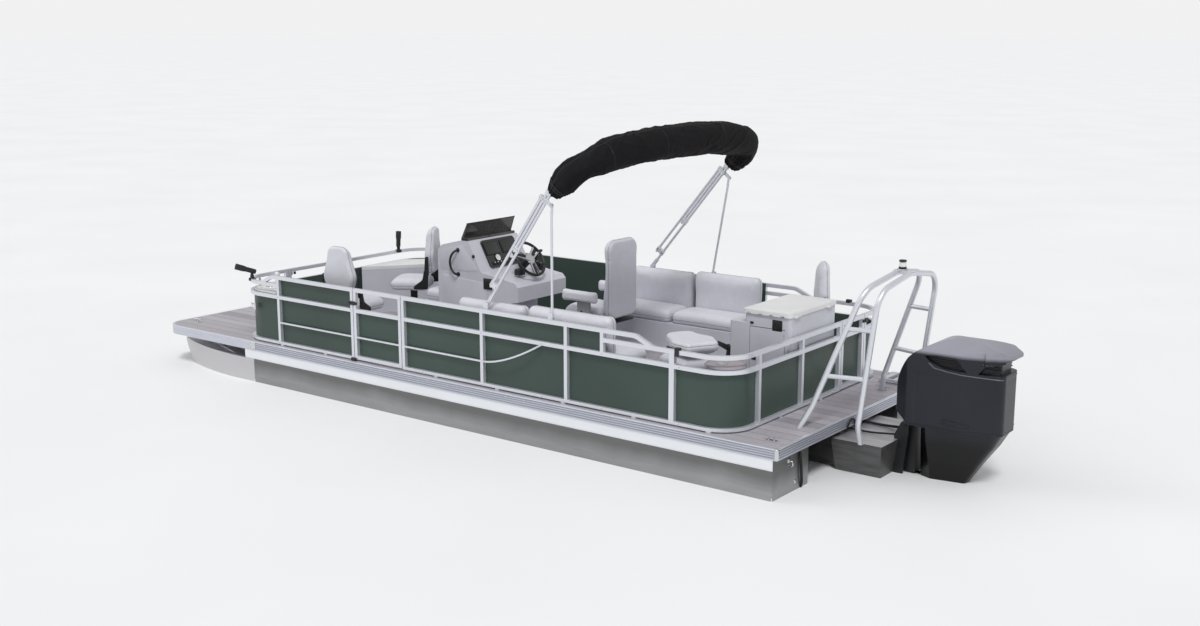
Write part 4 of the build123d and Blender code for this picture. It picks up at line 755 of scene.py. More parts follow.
for chair, x, y, heading, folded in CHAIRS:
    place = Matrix.Translation(at(x, y, 0)) @ spin(heading)
    back_place = place @ (shift(-0.73, 0, 0.61) @ FOLDED if folded else shift(-0.26, 0, 0) @ UPRIGHT)
    pad(chair_seat, chair + "_seat_pad", place, chair + "_seat", chair + "_chair_seat")
    pad(chair_back, chair + "_back_pad", back_place, chair + "_back", chair + "_chair_back")
    lower = Forms(place)
    swivel_plate(lower)
    lower.block((0, 0, 0.3475), (0.24, 0.2, 0.008))
    to_hinge = shift(HINGE[0], 0, HINGE[1])
    upper = Forms(place @ to_hinge @ spin(90 if folded else 0, "Y") @ to_hinge.inverted())
    for side in SIDES:
        lower.prism(arm_outline, -0.004, 0.004, 0.0025, standing(side * 0.229))
        for k in range(4):
            lower.block((-0.19 + 0.004 * k, side * 0.2335, 0.4 + 0.035 * k), (0.034, 0.003, 0.012), 0.001)
        lower.block((-0.14, side * 0.2165, 0.386), (0.07, 0.022, 0.022), 0.004)
        lower.bolt((HINGE[0], side * 0.233, HINGE[1]), Y * side, 0.009, 0.006)
        lower.bolt((-0.1, side * 0.233, 0.392), Y * side)
        upper.prism(plate_outline, -0.003, 0.003, 0.002, standing(side * 0.2185))
        upper.rod((HINGE[0], side * 0.2, HINGE[1]), (HINGE[0], side * 0.222, HINGE[1]), 0.0058)
        for height in (0.6, 0.67):
            upper.bolt((-0.193, side * 0.2215, height), Y * side, 0.005, 0.003)
    lower.done(chair + "_seat_bracket", "black", chair + "_seat")
    upper.done(chair + "_back_bracket", "black", chair + "_back")


# Helm chair
def helm_back_shape(p, u, v, share):
    """A back that is fuller at the loins and hollows a little above."""
    p.z += bulge(0.012 * share, v, -0.55, 0.3)
    p.z -= bulge(0.014 * share, v, 0.25, 0.4)


HELM = Matrix.Translation(at(2.8, -0.262, 0))
helm_seat = cushion(
    box_outline(0.462, 0.444, 0.085, 0.03), SEAT_UNDER, 0.47, 0.04,
    ((Z, 0.4, 0.014, 0.004), (X, -0.06, 0.018, 0.004)), shape=seat_shape,
)
helm_back = cushion(
    box_outline(0.446, 0.745, 0.105, 0, 0.7475), BACK_LOW, BACK_HIGH, 0.034,
    (BACK_SEAM, (Y, 0.93, 0.02, 0.005)), crown=0.012, shape=helm_back_shape,
)
arm_pad = cushion(
    box_outline(0.39, 0.06, 0.029, -0.0075), 0.54, 0.645, 0.028, voxel=0.008, cap=0.006, crown=0.004,
)
pad(helm_seat, "helm_seat_pad", HELM, "helm_chair", "helm_chair_seat")
pad(helm_back, "helm_back_pad", HELM @ shift(-0.31, 0, 0) @ UPRIGHT, "helm_chair", "helm_chair_back")
helm_frame, arm_posts = Forms(HELM), Forms(HELM)
swivel_plate(helm_frame)
helm_frame.block((-0.235, 0, 0.36), (0.13, 0.3, 0.014), 0.004)
for side, named in zip(SIDES, ("port", "starboard")):
    helm_frame.block((-0.1, side * 0.236, 0.428), (0.22, 0.008, 0.03), 0.003)
    helm_frame.bolt((-0.015, side * 0.2575, 0.45), Y * side, 0.007)
    arm_posts.block((-0.035, side * 0.246, 0.483), (0.15, 0.024, 0.126), 0.01)
    pad(arm_pad, "helm_arm_pad_" + named, HELM @ shift(0, side * 0.27, 0), "helm_chair", "helm_chair_arms")
helm_frame.done("helm_chair_frame", "black", "helm_chair")
arm_posts.done("helm_arm_posts", "vinyl_dark", "helm_chair")


# Lounge seats and their backs
def roll_shape(p, u, v, share):
    """Back cushions lean out a little and are fullest near the top."""
    p.y += bulge(0.006 * share * math.copysign(1.0, v), share, 0.75, 0.2)


LOUNGE_TOP = 0.3004
# Lengths and height that the pads' stretch is measured by
SEAT_LENGTH = 0.849
BACK_LENGTH, BACK_FOOT, BACK_HEIGHT = 0.88, 0.3003, 0.4347
lounge_seat = cushion(
    box_outline(0.842, 0.372, 0.05), 0.0, 0.098, 0.034, ((Z, 0.04, 0.016, 0.004),), voxel=0.017, crown=0.016,
)
lounge_back = cushion(
    box_outline(0.868, 0.116, 0.045), 0.0, 0.432, 0.05, ((Y, 0.0, 0.014, 0.003),), voxel=0.017, cap=0.012,
    crown=0.008, shape=roll_shape,
)


def lounge_pad(made, name, place, stretch, node):
    """A lounge's cushion, stretched from the length and width that its mesh has."""
    pad(made, name, Matrix.Translation(at(*place)) @ Matrix.Diagonal((*stretch, 1)), "hull", node)


# columns: name, from and to along the boat, side
for name, low, high, side in (
    ("port_aft", 1.56, 2.409, 1), ("port_fore", 2.411, 3.26, 1),
    ("starboard_aft", 1.54, 2.269, -1), ("starboard_fore", 2.271, 3.0, -1),
):
    place = ((low + high) / 2, side * 0.83, LOUNGE_TOP)
    lounge_pad(lounge_seat, "lounge_seat_" + name, place, ((high - low) / SEAT_LENGTH, 1, 1), "lounge_seats")
place = Matrix.Translation(at(4.75, -0.44, LOUNGE_TOP)) @ spin(90) @ Matrix.Diagonal((0.75, 0.57, 1, 1))
pad(lounge_seat, "console_seat_pad", place, "hull", "lounge_seats")
# columns: name, from and to along the boat, side, top above the deck
for name, low, high, side, top in (
    ("port_fore", 2.48, 3.24, 1, 0.715), ("port_aft", 1.59, 2.47, 1, 0.735),
    ("starboard_fore", 2.28, 2.98, -1, 0.715), ("starboard_aft", 1.56, 2.27, -1, 0.735),
):
    place = ((low + high) / 2, side * 1.088, LOUNGE_TOP)
    stretch = ((high - low) / BACK_LENGTH, 1, (top - BACK_FOOT) / BACK_HEIGHT)
    lounge_pad(lounge_back, "lounge_back_" + name, place, stretch, "lounge_backs")

# Bimini: feet and tops of its bows and heads of its braces, each ahead of the aft edge and above the deck
BOW_Y = 1.185
BOW_FOOT = (2.84, 0.7)
BOW_TOP = {1: (2.15, 1.68), -1: (1.99, 1.72)}
BRACE_HEAD = {1: (2.15, 1.575), -1: (1.99, 1.6)}


def beside(place, side):
    """Row point in the plane of the bows' pins on one side."""
    return at(place[0], side * BOW_Y, place[1])


def node_tree(name):
    """A CAD node's faces, ready for rays."""
    mesh = NODES[name].data
    corners = [v.co.copy() for v in mesh.vertices]
    return BVHTree.FromPolygons(corners, [list(p.vertices) for p in mesh.polygons])


# Boot: a canvas sleeve round the folded canopy, along an arch from one bow's top to the other's
BOOT_SIDES = 112
BOOT_STEP = 0.009
arch_ends = [beside(BOW_TOP[side], side) for side in SIDES]
bow_aim = sum(((end - beside(BOW_FOOT, side)).normalized() for end, side in zip(arch_ends, SIDES)), Vector())
arch_half = (arch_ends[0] - arch_ends[1]).length / 2
arch_x = (arch_ends[0] - arch_ends[1]).normalized()
arch_z = arch_x.cross(bow_aim.normalized()).normalized()
arch_y = arch_z.cross(arch_x)
arch_middle = (arch_ends[0] + arch_ends[1]) / 2
boot_line = smooth_path([
    arch_middle + arch_x * x + arch_y * y for x, y in (
        (-arch_half + 0.006, 0.004), (-arch_half - 0.012, 0.13), (-arch_half - 0.02, 0.3), (-0.5, 0.4),
        (0.3, 0.4), (arch_half - 0.11, 0.3), (arch_half - 0.02, 0.13), (arch_half - 0.01, 0.004),
    )
], BOOT_STEP)
boot_tree = node_tree("bimini_boot")
last = len(boot_line) - 1


def boot_wrinkle(run, angle, ends):
    """How far the canvas stands off: long soft folds, a few slanting creases, gathers near the tied ends."""
    def direction(turn):
        return Vector((math.cos(turn), math.sin(turn), 0.0))

    def drift(speed, y=0.0, z=0.0):
        return Vector((run * speed, y, z))

    round_by = direction(angle)
    soft = noise.noise(drift(3.2, 0, 5.0) + round_by * 0.9)
    crease = 1 - abs(noise.noise(drift(5.5, 4.0, 1.3) + direction(angle + run * 2.5) * 1.5))
    fine = 1 - abs(noise.noise(drift(14, 9.0, 2.0) + round_by * 2.6))
    pleats = math.sin(13 * angle + 2.0 * noise.noise(round_by * 2 + drift(4)))
    return (0.01 * soft + 0.009 * (crease ** 7 - 0.42) + 0.0025 * (fine ** 6 - 0.4)
            + 0.009 * pleats * math.exp(-ends / 0.09) - 0.003)


def drawn_in(reach, run, held_in, length, facing):
    """The canvas's reach where a tied end holds it in, most at the end itself and where it faces a way."""
    near = min(1.0, max(0.0, (length - run) / (length * 0.6)))
    return reach * (1 - held_in * near * near * (3 - 2 * near) * max(0.0, facing))


rings = []
for i, centre in enumerate(boot_line):
    along = (boot_line[min(i + 1, last)] - boot_line[max(i - 1, 0)]).normalized()
    across = along.cross(arch_z)
    from_start, from_end = i * BOOT_STEP, (last - i) * BOOT_STEP
    outer_start = (arch_z * 0.6 + across).normalized()
    outer_end = (arch_z * 0.8 - across).normalized()
    ring = []
    for k in range(BOOT_SIDES):
        angle = 2 * math.pi * k / BOOT_SIDES
        away = arch_z * math.cos(angle) + across * math.sin(angle)
        reach = min(boot_tree.ray_cast(centre, away)[3] or 0.085, 0.146)
        reach = drawn_in(reach, from_end, 0.56, 0.74, away.dot(outer_end))
        reach = drawn_in(reach, from_start, 0.42, 0.32, away.dot(outer_start))
        ring.append(centre + away * (reach + boot_wrinkle(from_start, angle, min(from_start, from_end))))
    rings.append(ring)
boot_canvas, boot_seams, boot_ties = Forms(IN_ROW), Forms(IN_ROW), Forms(IN_ROW)
boot_canvas.skin(rings)
boot = boot_canvas.done("boot_canvas", "canvas", "bimini", crease=3.0)
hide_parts("bimini_boot")
# columns: share of the way round, size
for share, size in ((0.3, 0.0032), (0.345, 0.0022), (0.8, 0.0026)):
    boot_seams.tube([ring[int(BOOT_SIDES * share)] for ring in rings[4:-4:3]], size, 6)
for share in (0.3, 0.58, 0.8):
    boot_seams.tube(rings[int(len(rings) * share)], 0.0024, 6, closed=True)
boot_seams.done("boot_seams", "black", "bimini")
for index in (7, last - 7):
    for next_to in (-1, 1):
        boot_ties.tube(rings[index + next_to], 0.006, 8, closed=True)
boot_ties.done("boot_ties", "rubber", "bimini")

# Corner tables and their cup rims
bow_table = Forms()
table_edge = [(5.5, 1.212), (5.56, 1.1), (5.66, 0.98), (5.8, 0.9), (5.93, 0.84), (5.985, 0.66)]
bow_table.prism(table_edge + circle(0.266, 40, 5.72, 0.945)[:11], 0.4785, 0.496, 0.006)
bow_table.prism([(5.76 + 0.115 * a, 1.055 + 0.085 * b) for a, b in circle(1, 40)], 0.4955, 0.506, 0.005)
bow_table.done("bow_corner_table", "tray")
bow_rim = Forms()
bow_rim.ring((5.76, 1.055, 0.506), Z, 0.045, 0.004)
bow_rim.lathe([(0.043, 0), (0.041, 0.003), (0, 0.003)], (5.76, 1.055, 0.504))
bow_rim.lathe([(0.012, 0), (0.012, 0.07), (0.008, 0.078), (0, 0.08)], (5.905, 1.065, 0.496))
bow_rim.done("bow_cup_rim", "steel")
stern_table, stern_rim = Forms(), Forms()
stern_table.prism(circle(0.16, 48, 0.605, 1.035), 0.4785, 0.4945, 0.006)
stern_table.ring((0.605, 1.035, 0.4955), Z, 0.148, 0.004)
stern_table.done("stern_corner_table", "cup")
stern_rim.lathe([(0.047, 0), (0.047, 0.006), (0.041, 0.008), (0.038, 0.005), (0.036, 0.005), (0, 0.0052)],
                (0.625, 1.065, 0.4935))
stern_rim.done("stern_corner_table_cup_rims", "steel")


def rod_holder(name, foot, lean, length=0.2):
    """A rod holder clamped on a rail: a saddle, a pivot and a tapered tube that leans a given way."""
    forms = Forms()
    foot, lean = Vector(foot), Vector(lean).normalized()
    forms.block(foot - Z * 0.01, (0.056, 0.05, 0.03), 0.006)
    forms.lathe([(0.018, 0), (0.018, 0.03), (0.013, 0.04), (0.013, 0.065)], foot)
    forms.ball(foot + Z * 0.068, 0.022)
    low = foot + Z * 0.072 - lean * 0.04
    forms.lathe([(0.018, 0), (0.024, 0.012), (0.024, length * 0.55), (0.029, length * 0.62), (0.029, length),
                 (0.024, length), (0.022, length - 0.03), (0, length - 0.03)], low, lean)
    forms.ring(low + lean * length * 0.55, lean, 0.025, 0.004, 24)
    forms.bolt(foot + Vector((0, 0.026, -0.006)), Y, 0.005)
    forms.done(name, "black")


rod_holder("rod_holder_bow", (5.863, 1.19, 0.592), (0.42, 0.62, 0.25))
rod_holder("rod_holder_bow_starboard", (5.99, -0.89, 0.592), (0.2, -0.25, 0.9), 0.17)

# Lamps: one on the bow table's edge, one on the tow arch's top, and a pair in the bow corner's side
lamps, lenses, lamp_cap = Forms(), Forms(), Forms()
lamps.lathe([(0.02, 0), (0.02, 0.01), (0.009, 0.016), (0.009, 0.046), (0.024, 0.052)], (5.968, 0.8, 0.496))
lamps.lathe([(0.036, 0), (0.04, 0.004), (0.04, 0.012), (0.03, 0.014)], (-0.3, 0, 1.1535))
lamps.block((5.795, 1.244, 0.335), (0.1, 0.014, 0.058), 0.006, spin(-16))
lamps.done("lamp_bases", "steel")
lenses.lathe([(0.024, 0), (0.026, 0.012), (0.022, 0.03), (0.012, 0.04), (0, 0.042)], (5.968, 0.8, 0.548))
lenses.lathe([(0.026, 0), (0.027, 0.03), (0.024, 0.042), (0, 0.046)], (-0.3, 0, 1.1735))
for k in (-1, 1):
    lenses.ball((5.797 + 0.022 * k, 1.252 - 0.006 * k, 0.335), 0.018, 0.35, (0.28, 1, 0))
lenses.done("lamp_lenses", "lens")
lamp_cap.lathe([(0.029, 0), (0.029, 0.01), (0.026, 0.012), (0, 0.013)], (-0.3, 0, 1.2195))
lamp_cap.lathe([(0.024, 0), (0.03, 0.006), (0.03, 0.014), (0.024, 0.016)], (-0.3, 0, 1.1655))
lamp_cap.done("stern_lamp_cap", "black")

# Gate latches, stops and catches
latches = Forms()
latches.blocks(
    ((4.416, 1.2495, 0.53), (0.07, 0.012, 0.034), 0.003), ((4.44, 1.2585, 0.53), (0.03, 0.014, 0.016), 0.004),
    ((4.414, 1.25, 0.014), (0.06, 0.02, 0.03), 0.004), ((6.0245, 0.585, 0.535), (0.012, 0.05, 0.034), 0.003),
    ((6.0245, 0.6, 0.06), (0.012, 0.04, 0.03), 0.003), ((0.3995, -0.852, 0.535), (0.012, 0.05, 0.034), 0.003),
    ((0.76, -1.229, 0.596), (0.05, 0.036, 0.03), 0.005), ((0.905, 1.229, 0.598), (0.044, 0.04, 0.022), 0.006),
    ((0.905, 1.2475, 0.574), (0.04, 0.008, 0.06), 0.003),
)
latches.done("gate_latches", "black")
# columns: gate, the catch's middle, the way that it faces
for gate, middle, out in (
    ("port", (4.366, 1.2495, 0.53), Y), ("bow", (6.0245, 0.53, 0.535), X),
    ("stern", (0.3995, -0.8, 0.535), -X),
):
    catch = Forms()
    catch.block(middle, (0.028, 0.012, 0.026) if out == Y else (0.012, 0.028, 0.026), 0.003)
    catch.bolt(Vector(middle) + out * 0.006, out, 0.005)
    catch.done(f"gate_{gate}_catch", "black", f"gate_{gate}")

# Screws along the fence's posts
fence_screws = Forms()
for x in (0.885, 1.61, 2.215, 2.865, 3.555, 4.44, 5.44):
    for z in (0.024, 0.462):
        for side in SIDES:
            fence_screws.bolt((x, side * 1.245, z), Y * side, 0.0045, 0.003)
for y in (0.9, 0.3, -0.3, -0.95):
    fence_screws.bolt((0.404, y, 0.024), -X, 0.0045, 0.003)
fence_screws.done("fence_screws", "steel")

# Rub rails: a bolted splice plate, screws along the rail, and an end cap
rub_fittings = Forms()
for side in SIDES:
    y = side * 1.295
    rub_fittings.blocks(((5.78, y, -0.041), (0.085, 0.006, 0.066), 0.002),
                        ((0.01, y - side * 0.012, -0.041), (0.034, 0.034, 0.088), 0.01))
    for dx in (-0.028, 0.028):
        for dz in (-0.02, 0.02):
            rub_fittings.bolt((5.78 + dx, y + side * 0.003, -0.041 + dz), Y * side)
    for k in range(26):
        rub_fittings.bolt((0.2 + 0.215 * k, y, -0.023), Y * side, 0.0035, 0.002)
    for k in range(6):
        rub_fittings.bolt((5.95 + 0.21 * k, y, -0.035), Y * side, 0.0035, 0.002)
rub_fittings.done("rub_rail_fittings", "steel")

# Cleats: a foot, two posts and a tapered horn
cleats = Forms()
horn = [k / 6 for k in range(-6, 7)]
horn_sizes = [0.0065 - 0.003 * abs(s) for s in horn]
for x, y in ((0.15, 1.12), (0.15, -0.7), (6.95, 1.05), (6.95, -1.05)):
    cleats.block((x, y, 0.003), (0.09, 0.03, 0.006))
    for post in (x - 0.022, x + 0.022):
        cleats.rod((post, y, 0.004), (post, y, 0.026), 0.007)
    cleats.tube([(x + 0.07 * s, y, 0.03 + 0.004 * s * s) for s in horn], horn_sizes, 10)
cleats.done("cleats", "steel")

# Helm console: the dash's lower and upper edge, in row points
DASH_LOW, DASH_HIGH = Vector((4.06, 0, 0.66)), Vector((4.22, 0, 0.945))
dash_up = (DASH_HIGH - DASH_LOW).normalized()
dash_out = Vector((-dash_up.z, 0, dash_up.x))
dash_turn = Matrix((-Y, dash_up, dash_out)).transposed().to_4x4()


def dash_at(y, up, out=0.0125):
    """A point on the dash: across the boat, up its slope from its middle, and off its face."""
    return (DASH_LOW + DASH_HIGH) / 2 + Y * y + dash_up * up + dash_out * out


DIALS = ((-0.375, -0.052), (-0.56, -0.052))
SWITCHES = [-0.3 - 0.045 * k for k in range(5)]
screens, bezels, dials, needles = Forms(), Forms(), Forms(), Forms()
for y, width in ((-0.34, 0.195), (-0.585, 0.215)):
    bezels.block(dash_at(y, 0.052, 0.016), (width, 0.135, 0.01), 0.003, dash_turn)
    screens.block(dash_at(y, 0.052, 0.0205), (width - 0.02, 0.112, 0.003), 0.001, dash_turn)
bezels.block(dash_at(-0.47, -0.105, 0.014), (0.4, 0.04, 0.006), 0.002, dash_turn)
for y in SWITCHES:
    bezels.block(dash_at(y, -0.105, 0.019), (0.026, 0.03, 0.01), 0.002, dash_turn)
    dials.block(dash_at(y, -0.097, 0.0245), (0.012, 0.008, 0.002), 0.0005, dash_turn)
for y, up in (*DIALS, (-0.65, -0.105)):
    bezels.lathe([(0.04, 0), (0.04, 0.006), (0.034, 0.009), (0.033, 0.006), (0, 0.006)], dash_at(y, up),
                 dash_out)
for y, up in DIALS:
    dials.lathe([(0.032, 0), (0.032, 0.0012), (0, 0.0012)], dash_at(y, up, 0.0189), dash_out)
    for k in range(9):
        a = math.radians(-120 + 30 * k)
        tick = dash_at(y + 0.026 * math.sin(a), up + 0.026 * math.cos(a), 0.0202)
        needles.block(tick, (0.003, 0.003, 0.001), 0.0003, dash_turn)
    needles.tube([dash_at(y, up, 0.0208), dash_at(y + 0.012, up + 0.018, 0.0208)], 0.0012, 6)
bezels.done("dash_bezels", "black")
screens.done("dash_screens", "screen")
dials.done("dash_dials", "glow")
needles.done("dash_needles", "black")

# Steering wheel: its centre as a row point, its axis towards the helm chair, and up in its plane
WHEEL = Vector((3.7, -0.38, 0.79))
wheel_axis = Vector((-0.819152, 0, 0.573576))
wheel_up = Vector((0.573576, 0, 0.819152))


def wheel_way(degrees):
    """A direction from the wheel's centre to its rim."""
    return Y * math.cos(math.radians(degrees)) - wheel_up * math.sin(math.radians(degrees))


spokes, grips = Forms(), Forms()
for turn in (0, 120, 240):
    out = wheel_way(90 + turn)
    aside = out.cross(wheel_axis)
    for lean in (-1, 1):
        spokes.tube([WHEEL + wheel_axis * 0.004 + out * 0.03 + aside * 0.02 * lean,
                     WHEEL + wheel_axis * 0.002 + out * 0.1 + aside * 0.03 * lean,
                     WHEEL + out * 0.168 + aside * 0.036 * lean], [0.012, 0.009, 0.008], 8)
    grips.ball(WHEEL + wheel_way(30 + turn) * 0.175, 0.0165)
spokes.lathe([(0.056, 0), (0.054, 0.008), (0.044, 0.014), (0.02, 0.018), (0, 0.018)], WHEEL, wheel_axis)
spokes.done("wheel_spokes", "steel", "wheel")
grips.done("wheel_grips", "rubber", "wheel")

# Console sides: a grab handle, lock, socket, throttle and the wheel's column
console_bits = Forms()
console_bits.tube(smooth_path([
    (4.352, -0.079, 0.848), (4.352, -0.04, 0.852), (4.405, -0.036, 0.8), (4.425, -0.036, 0.73),
    (4.405, -0.036, 0.662), (4.352, -0.04, 0.612), (4.352, -0.079, 0.616),
], 0.012), 0.011)
for z in (0.85, 0.614):
    console_bits.lathe([(0.022, 0), (0.022, 0.005), (0.014, 0.01)], (4.352, -0.08, z), Y)
console_bits.lathe([(0.017, 0), (0.017, 0.006), (0.012, 0.014), (0, 0.015)], (4.15, -0.08, 0.806), Y)
console_bits.lathe([(0.03, 0), (0.034, 0.01), (0.034, 0.03), (0.026, 0.04)], (3.85, -0.672, 0.7), Y)
lever = smooth_path([(3.85, -0.645, 0.7), (3.84, -0.645, 0.76), (3.815, -0.645, 0.815)], 0.012)
console_bits.tube(lever, 0.011, 10)
console_bits.blocks(
    ((3.97, -0.0745, 0.56), (0.105, 0.014, 0.105), 0.006), ((3.97, -0.0675, 0.56), (0.08, 0.01, 0.08), 0.004),
    ((3.85, -0.7, 0.655), (0.085, 0.06, 0.085), 0.01), ((3.81, -0.655, 0.822), (0.03, 0.075, 0.026), 0.01),
    ((3.76, -0.3, 0.668), (0.08, 0.09, 0.06), 0.012),
)
column_end = WHEEL - wheel_axis * 0.125
console_bits.lathe([(0.05, 0), (0.046, 0.02), (0.04, 0.075), (0.036, 0.1)], column_end, wheel_axis)
console_bits.done("console_fittings", "black")
side_panel = Forms()
side_panel.prism(rounded([(3.985, 0.075), (4.56, 0.075), (4.56, 0.6), (3.985, 0.56)], 0.03), -0.003, 0.003,
                 0.002, standing(-0.0795))
side_panel.prism(rounded([(4.08, 0.66), (4.3, 0.905), (4.59, 0.83), (4.59, 0.64)], 0.02), -0.0015, 0.0015,
                 0.001, standing(-0.08))
side_panel.done("console_side_panel", "moulded")
screen_trim = Forms()
for y in (-0.098, -0.44, -0.782):
    screen_trim.block((4.279, y, 0.957), (0.075, 0.02, 0.02), 0.003)
screen_trim.tube([(4.24, -0.79, 1.1125), (4.24, -0.09, 1.1125)], 0.0045, 8)
screen_trim.done("windscreen_trim", "black")

# Aft console: latches, a raised panel on its lid, and clips along the lid's edge
latch, door_latch, lid_panel, lid_clips = Forms(), Forms(), Forms(), Forms()
latch.blocks(((0.57, 0.3475, 0.668), (0.088, 0.008, 0.088), 0.006),
             ((0.57, 0.353, 0.668), (0.018, 0.006, 0.04), 0.003),
             ((0.8, 0.3475, 0.666), (0.03, 0.006, 0.02), 0.003))
latch.ring((0.57, 0.352, 0.668), Y, 0.026, 0.004, 24)
latch.done("console_latch", "black")
door_latch.block((0.775, 0.3515, 0.4), (0.04, 0.006, 0.06), 0.004)
door_latch.done("console_door_latch", "black", "console_door")
lid_outline = rounded([(0.875, 0.345), (0.462, 0.345), (0.462, -0.395), (0.875, -0.395)], 0.03)
lid_panel.prism(lid_outline, 0.7715, 0.776, 0.002)
lid_panel.done("console_lid_panel", "tray", "console_lid")
for x in (0.52, 0.62, 0.72, 0.82):
    lid_clips.block((x, 0.3595, 0.7485), (0.034, 0.004, 0.014))
lid_clips.done("console_lid_clips", "steel", "console_lid")

# Tubes: eyes and drain plugs on their ends, struts from the deck's edge to the nose cones, and weld beads
tube_bits, bow_struts, welds = Forms(), Forms(), Forms(IN_ROW)
for side in SIDES:
    tube_bits.ring((0.03, side * 1.05, -0.17), Y, 0.022, 0.006, 24)
    tube_bits.block((0.038, side * 1.05, -0.146), (0.008, 0.05, 0.03))
    tube_bits.lathe([(0.016, 0), (0.016, 0.006), (0.01, 0.01), (0, 0.011)], (0.04, side * 0.96, -0.33), -X)
    bow_struts.tube([(6.06, side * 1.235, -0.196), (6.085, side * 1.225, -0.19), (7.02, side * 1.01, -0.112),
                     (7.05, side * 1.004, -0.104)], 0.011, 10)
    bow_struts.block((6.06, side * 1.235, -0.196), (0.05, 0.028, 0.014), 0.003)
    bow_struts.bolt((6.06, side * 1.25, -0.194), Y * side, 0.007)
tube_bits.done("tube_end_fittings", "steel")
bow_struts.done("bow_struts", "rail")
for node_name, joint in (
    *((name, NOSE_JOINT) for name in ("tube_port", "tube_starboard", "tube_centre")),
    *((name, STERN + 0.044) for name in ("tube_port", "tube_starboard")),
):
    for loop in seam_lines(NODES[node_name].data, X, joint):
        welds.tube(loop, 0.004, 6, closed=True)
welds.done("nose_welds", "strip")

# Outboard: louvres, seams, trim below its vent and grips on the cowl, and rigging hoses
cowl_tree = node_tree("motor_cowl")


def on_cowl(x, z, side, off=0.0):
    """The point of the cowl's side at a distance from the deck's aft edge and a height."""
    found, normal = cowl_tree.ray_cast(at(x, side * 0.6, z), -Y * side)[:2]
    return found and found + normal * off


def cowl_line(corners, side, off):
    """Points every few millimetres along straight runs between corners, each laid on the cowl's side."""
    points = []
    for (x0, z0), (x1, z1) in zip(corners, corners[1:]):
        steps = max(2, int(math.hypot(x1 - x0, z1 - z0) / 0.012))
        run = [(x0 + (x1 - x0) * k / steps, z0 + (z1 - z0) * k / steps) for k in range(steps)]
        points += [on_cowl(x, z, side, off) for x, z in run]
    return [point for point in points if point]


LOUVRES = (
    (-0.93, -0.64, 0.565), (-0.93, -0.66, 0.545), (-0.9, -0.7, 0.525),
    (-1.24, -1.03, 0.565), (-1.23, -1.03, 0.545), (-1.2, -1.04, 0.525),
)
VENT_EDGE = ((-0.65, 0.528), (-0.69, 0.497), (-0.79, 0.482), (-0.932, 0.47), (-1.07, 0.462), (-1.19, 0.456))
GRIP = ((-0.775, 0.12), (-0.96, 0.101), (-0.972, 0.088), (-0.96, 0.069), (-0.775, 0.086), (-0.762, 0.104),
        (-0.775, 0.12))
louvres, cowl_seams, vent_trim, cowl_grips = (Forms(IN_ROW) for _ in range(4))
for side in SIDES:
    for x0, x1, z in LOUVRES:
        points = cowl_line([(x0, z), ((x0 + x1) / 2, z - 0.01), (x1, z)], side, 0.004)
        points = [p for p in points if abs(p.y) < 0.222]
        if len(points) > 3:
            louvres.tube(points, 0.0055, 6)
    vent_trim.tube(cowl_line(VENT_EDGE, side, 0.001), 0.005, 8)
    cowl_grips.tube(cowl_line(GRIP, side, 0.0005), 0.0042, 6, closed=True)
    cowl_grips.bolt(on_cowl(-0.513, 0.13, side), Y * side, 0.012)
for height, size in ((0.445, 0.004), (0.075, 0.003)):
    for loop in seam_lines(NODES["motor_cowl"].data, Z, height + DECK):
        cowl_seams.tube(loop, size, 6, closed=True)
louvres.done("cowl_louvres", "black", "motor")
cowl_seams.done("cowl_seams", "black", "motor")
vent_trim.done("cowl_vent_trim", "motor_cap", "motor")
cowl_grips.done("cowl_grips", "black", "motor")

# Hoses: two on the pod's top to the bracket, a loop under the deck's edge and one on the port tube's end
hoses = Forms(IN_ROW)
bracket_tree = node_tree("motor_bracket")
# columns: metres to port, sideways sway, radius
for y, sway, radius in ((0.108, 0.0, 0.008), (-0.1, 0.00578, 0.011)):
    end = bracket_tree.ray_cast(at(-0.2, y, -0.1), -X)[0] - X * 0.004
    route = [at(0.046, y * 1.2, -0.112), at(-0.09, y * 1.2 + sway, -0.117),
             at(-0.2, y * 1.1 - sway, -0.115), end]
    hoses.tube(smooth_path(route, 0.012), radius, 8)
edge_loop = ((0.046, 0.235, -0.11), (0.0, 0.228, -0.1), (-0.01, 0.215, -0.05), (-0.012, 0.17, -0.018),
             (-0.012, 0.12, -0.04), (-0.004, 0.088, -0.1), (-0.006, 0.08, -0.128))
tube_drop = ((0.046, 0.914, -0.098), (0.028, 0.906, -0.12), (0.026, 0.9, -0.16), (0.024, 0.885, -0.29),
             (0.027, 0.87, -0.38), (0.046, 0.866, -0.398))
hoses.tube(smooth_path([at(*p) for p in edge_loop], 0.01), 0.007, 8)
hoses.block(at(-0.006, 0.08, -0.127), (0.026, 0.026, 0.01), 0.003)
hoses.tube(smooth_path([at(*p) for p in tube_drop], 0.012), 0.011, 10)
hoses.done("rigging_hoses", "rubber")

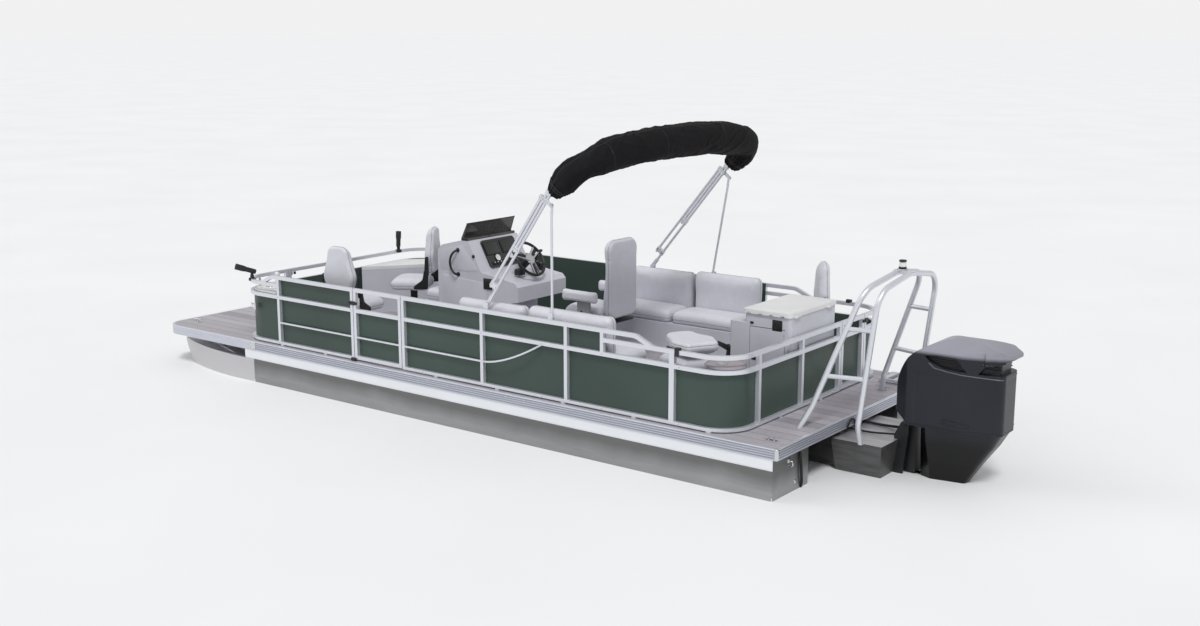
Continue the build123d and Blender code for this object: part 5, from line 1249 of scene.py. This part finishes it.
# Bimini: bolt heads through its clamps and lugs, round ends on its two shorter bows
bow_bolts, brace_bolts, bow_ends = (Forms(IN_ROW) for _ in range(3))
for side in SIDES:
    foot, head, knuckle = (beside(place, side) for place in (BOW_FOOT, BOW_TOP[side], BRACE_HEAD[side]))
    bow_dir = (head - foot).normalized()
    ahead = Vector((bow_dir.z, 0, -bow_dir.x))
    out = Y * side
    reach = (head - foot).length - 0.095
    for along, offset in ((0.182, 0.058), (0.182, 0.0), (0.592, 0.029), (0.592, 0.0), (reach, 0.0),
                          (reach, 0.029), (reach, 0.058)):
        for face in (out, -out):
            bow_bolts.bolt(foot + bow_dir * along + ahead * offset + face * 0.0155, face, 0.0075)
    for along, offset in ((0.15, 0.058), (0.56, 0.029)):
        bow_ends.ball(foot + bow_dir * along + ahead * offset, 0.0122)
    bow_bolts.bolt(knuckle + out * 0.01, out, 0.01, 0.005)
    brace_bolts.bolt(knuckle - out * 0.0095, -out, 0.009, 0.005)
bow_bolts.done("bimini_bolts", "steel", "bimini")
bow_ends.done("bimini_bow_ends", "rail", "bimini")
brace_bolts.done("brace_bolts", "steel", "braces")

# Camera, solved from the deck's corners, the rails and the posts
CAMERA_AT = Vector((-8.3037, 9.5865, 3.3396))
CAMERA_YAW = -0.9203
CAMERA_PITCH = 0.2026
SENSOR_WIDTH, LENS = 36.0, 41.54


def aimed(name, data, direction):
    """Put a camera or a lamp into the scene, looking along a direction."""
    made = bpy.data.objects.new(name, data)
    SCENE.collection.objects.link(made)
    made.rotation_mode = "QUATERNION"
    made.rotation_quaternion = Vector(direction).to_track_quat("-Z", "Y")
    return made


level = math.cos(CAMERA_PITCH)
look_along = (math.cos(CAMERA_YAW) * level, math.sin(CAMERA_YAW) * level, -math.sin(CAMERA_PITCH))
camera = aimed("camera", bpy.data.cameras.new("camera"), look_along)
camera.location = CAMERA_AT
camera.data.sensor_width = SENSOR_WIDTH
camera.data.lens = LENS
camera.data.clip_end = 2000.0
SCENE.camera = camera
SCENE.view_settings.view_transform = "Standard"

# Light: two soft suns and a plain world, brighter where the camera sees it directly or through glass
# columns: name, direction, spread in degrees, strength
for name, direction, spread, energy in (
    ("key", (0.42, -0.5, -0.95), 14, 1.55), ("fill", (-0.75, -0.35, -0.55), 30, 0.4),
):
    lamp = bpy.data.lights.new(name, "SUN")
    lamp.angle = math.radians(spread)
    lamp.energy = energy
    aimed(name, lamp, direction)
WORLD_ON_OBJECT, WORLD_SEEN = 0.56, 0.882
world = bpy.data.worlds.new("plain")
SCENE.world = world
world.use_nodes = True
nodes, link = world.node_tree.nodes, world.node_tree.links.new
path = nodes.new("ShaderNodeLightPath")
seen = nodes.new("ShaderNodeMath")
seen.operation = "MAXIMUM"
link(path.outputs["Is Camera Ray"], seen.inputs[0])
link(path.outputs["Is Transmission Ray"], seen.inputs[1])
strength = nodes.new("ShaderNodeMapRange")
strength.inputs["To Min"].default_value = WORLD_ON_OBJECT
strength.inputs["To Max"].default_value = WORLD_SEEN
link(seen.outputs[0], strength.inputs["Value"])
nodes["Background"].inputs["Color"].default_value = (1.0, 1.0, 1.0, 1.0)
link(strength.outputs[0], nodes["Background"].inputs["Strength"])

# Floor, at the waterline
FLOOR = 600.0
floor_mesh = bpy.data.meshes.new("floor")
floor_mesh.from_pydata([(-FLOOR, -FLOOR, 0), (FLOOR, -FLOOR, 0), (FLOOR, FLOOR, 0), (-FLOOR, FLOOR, 0)], [],
                       [(0, 1, 2, 3)])
floor = bpy.data.objects.new("floor", floor_mesh)
SCENE.collection.objects.link(floor)
pale = Maker("pale_floor")
floor_mesh.materials.append(
    pale.done(pale.ramp(pale.noise(0.4, 2), linear((238, 239, 240)), linear((242, 243, 244))), 0.75)
)
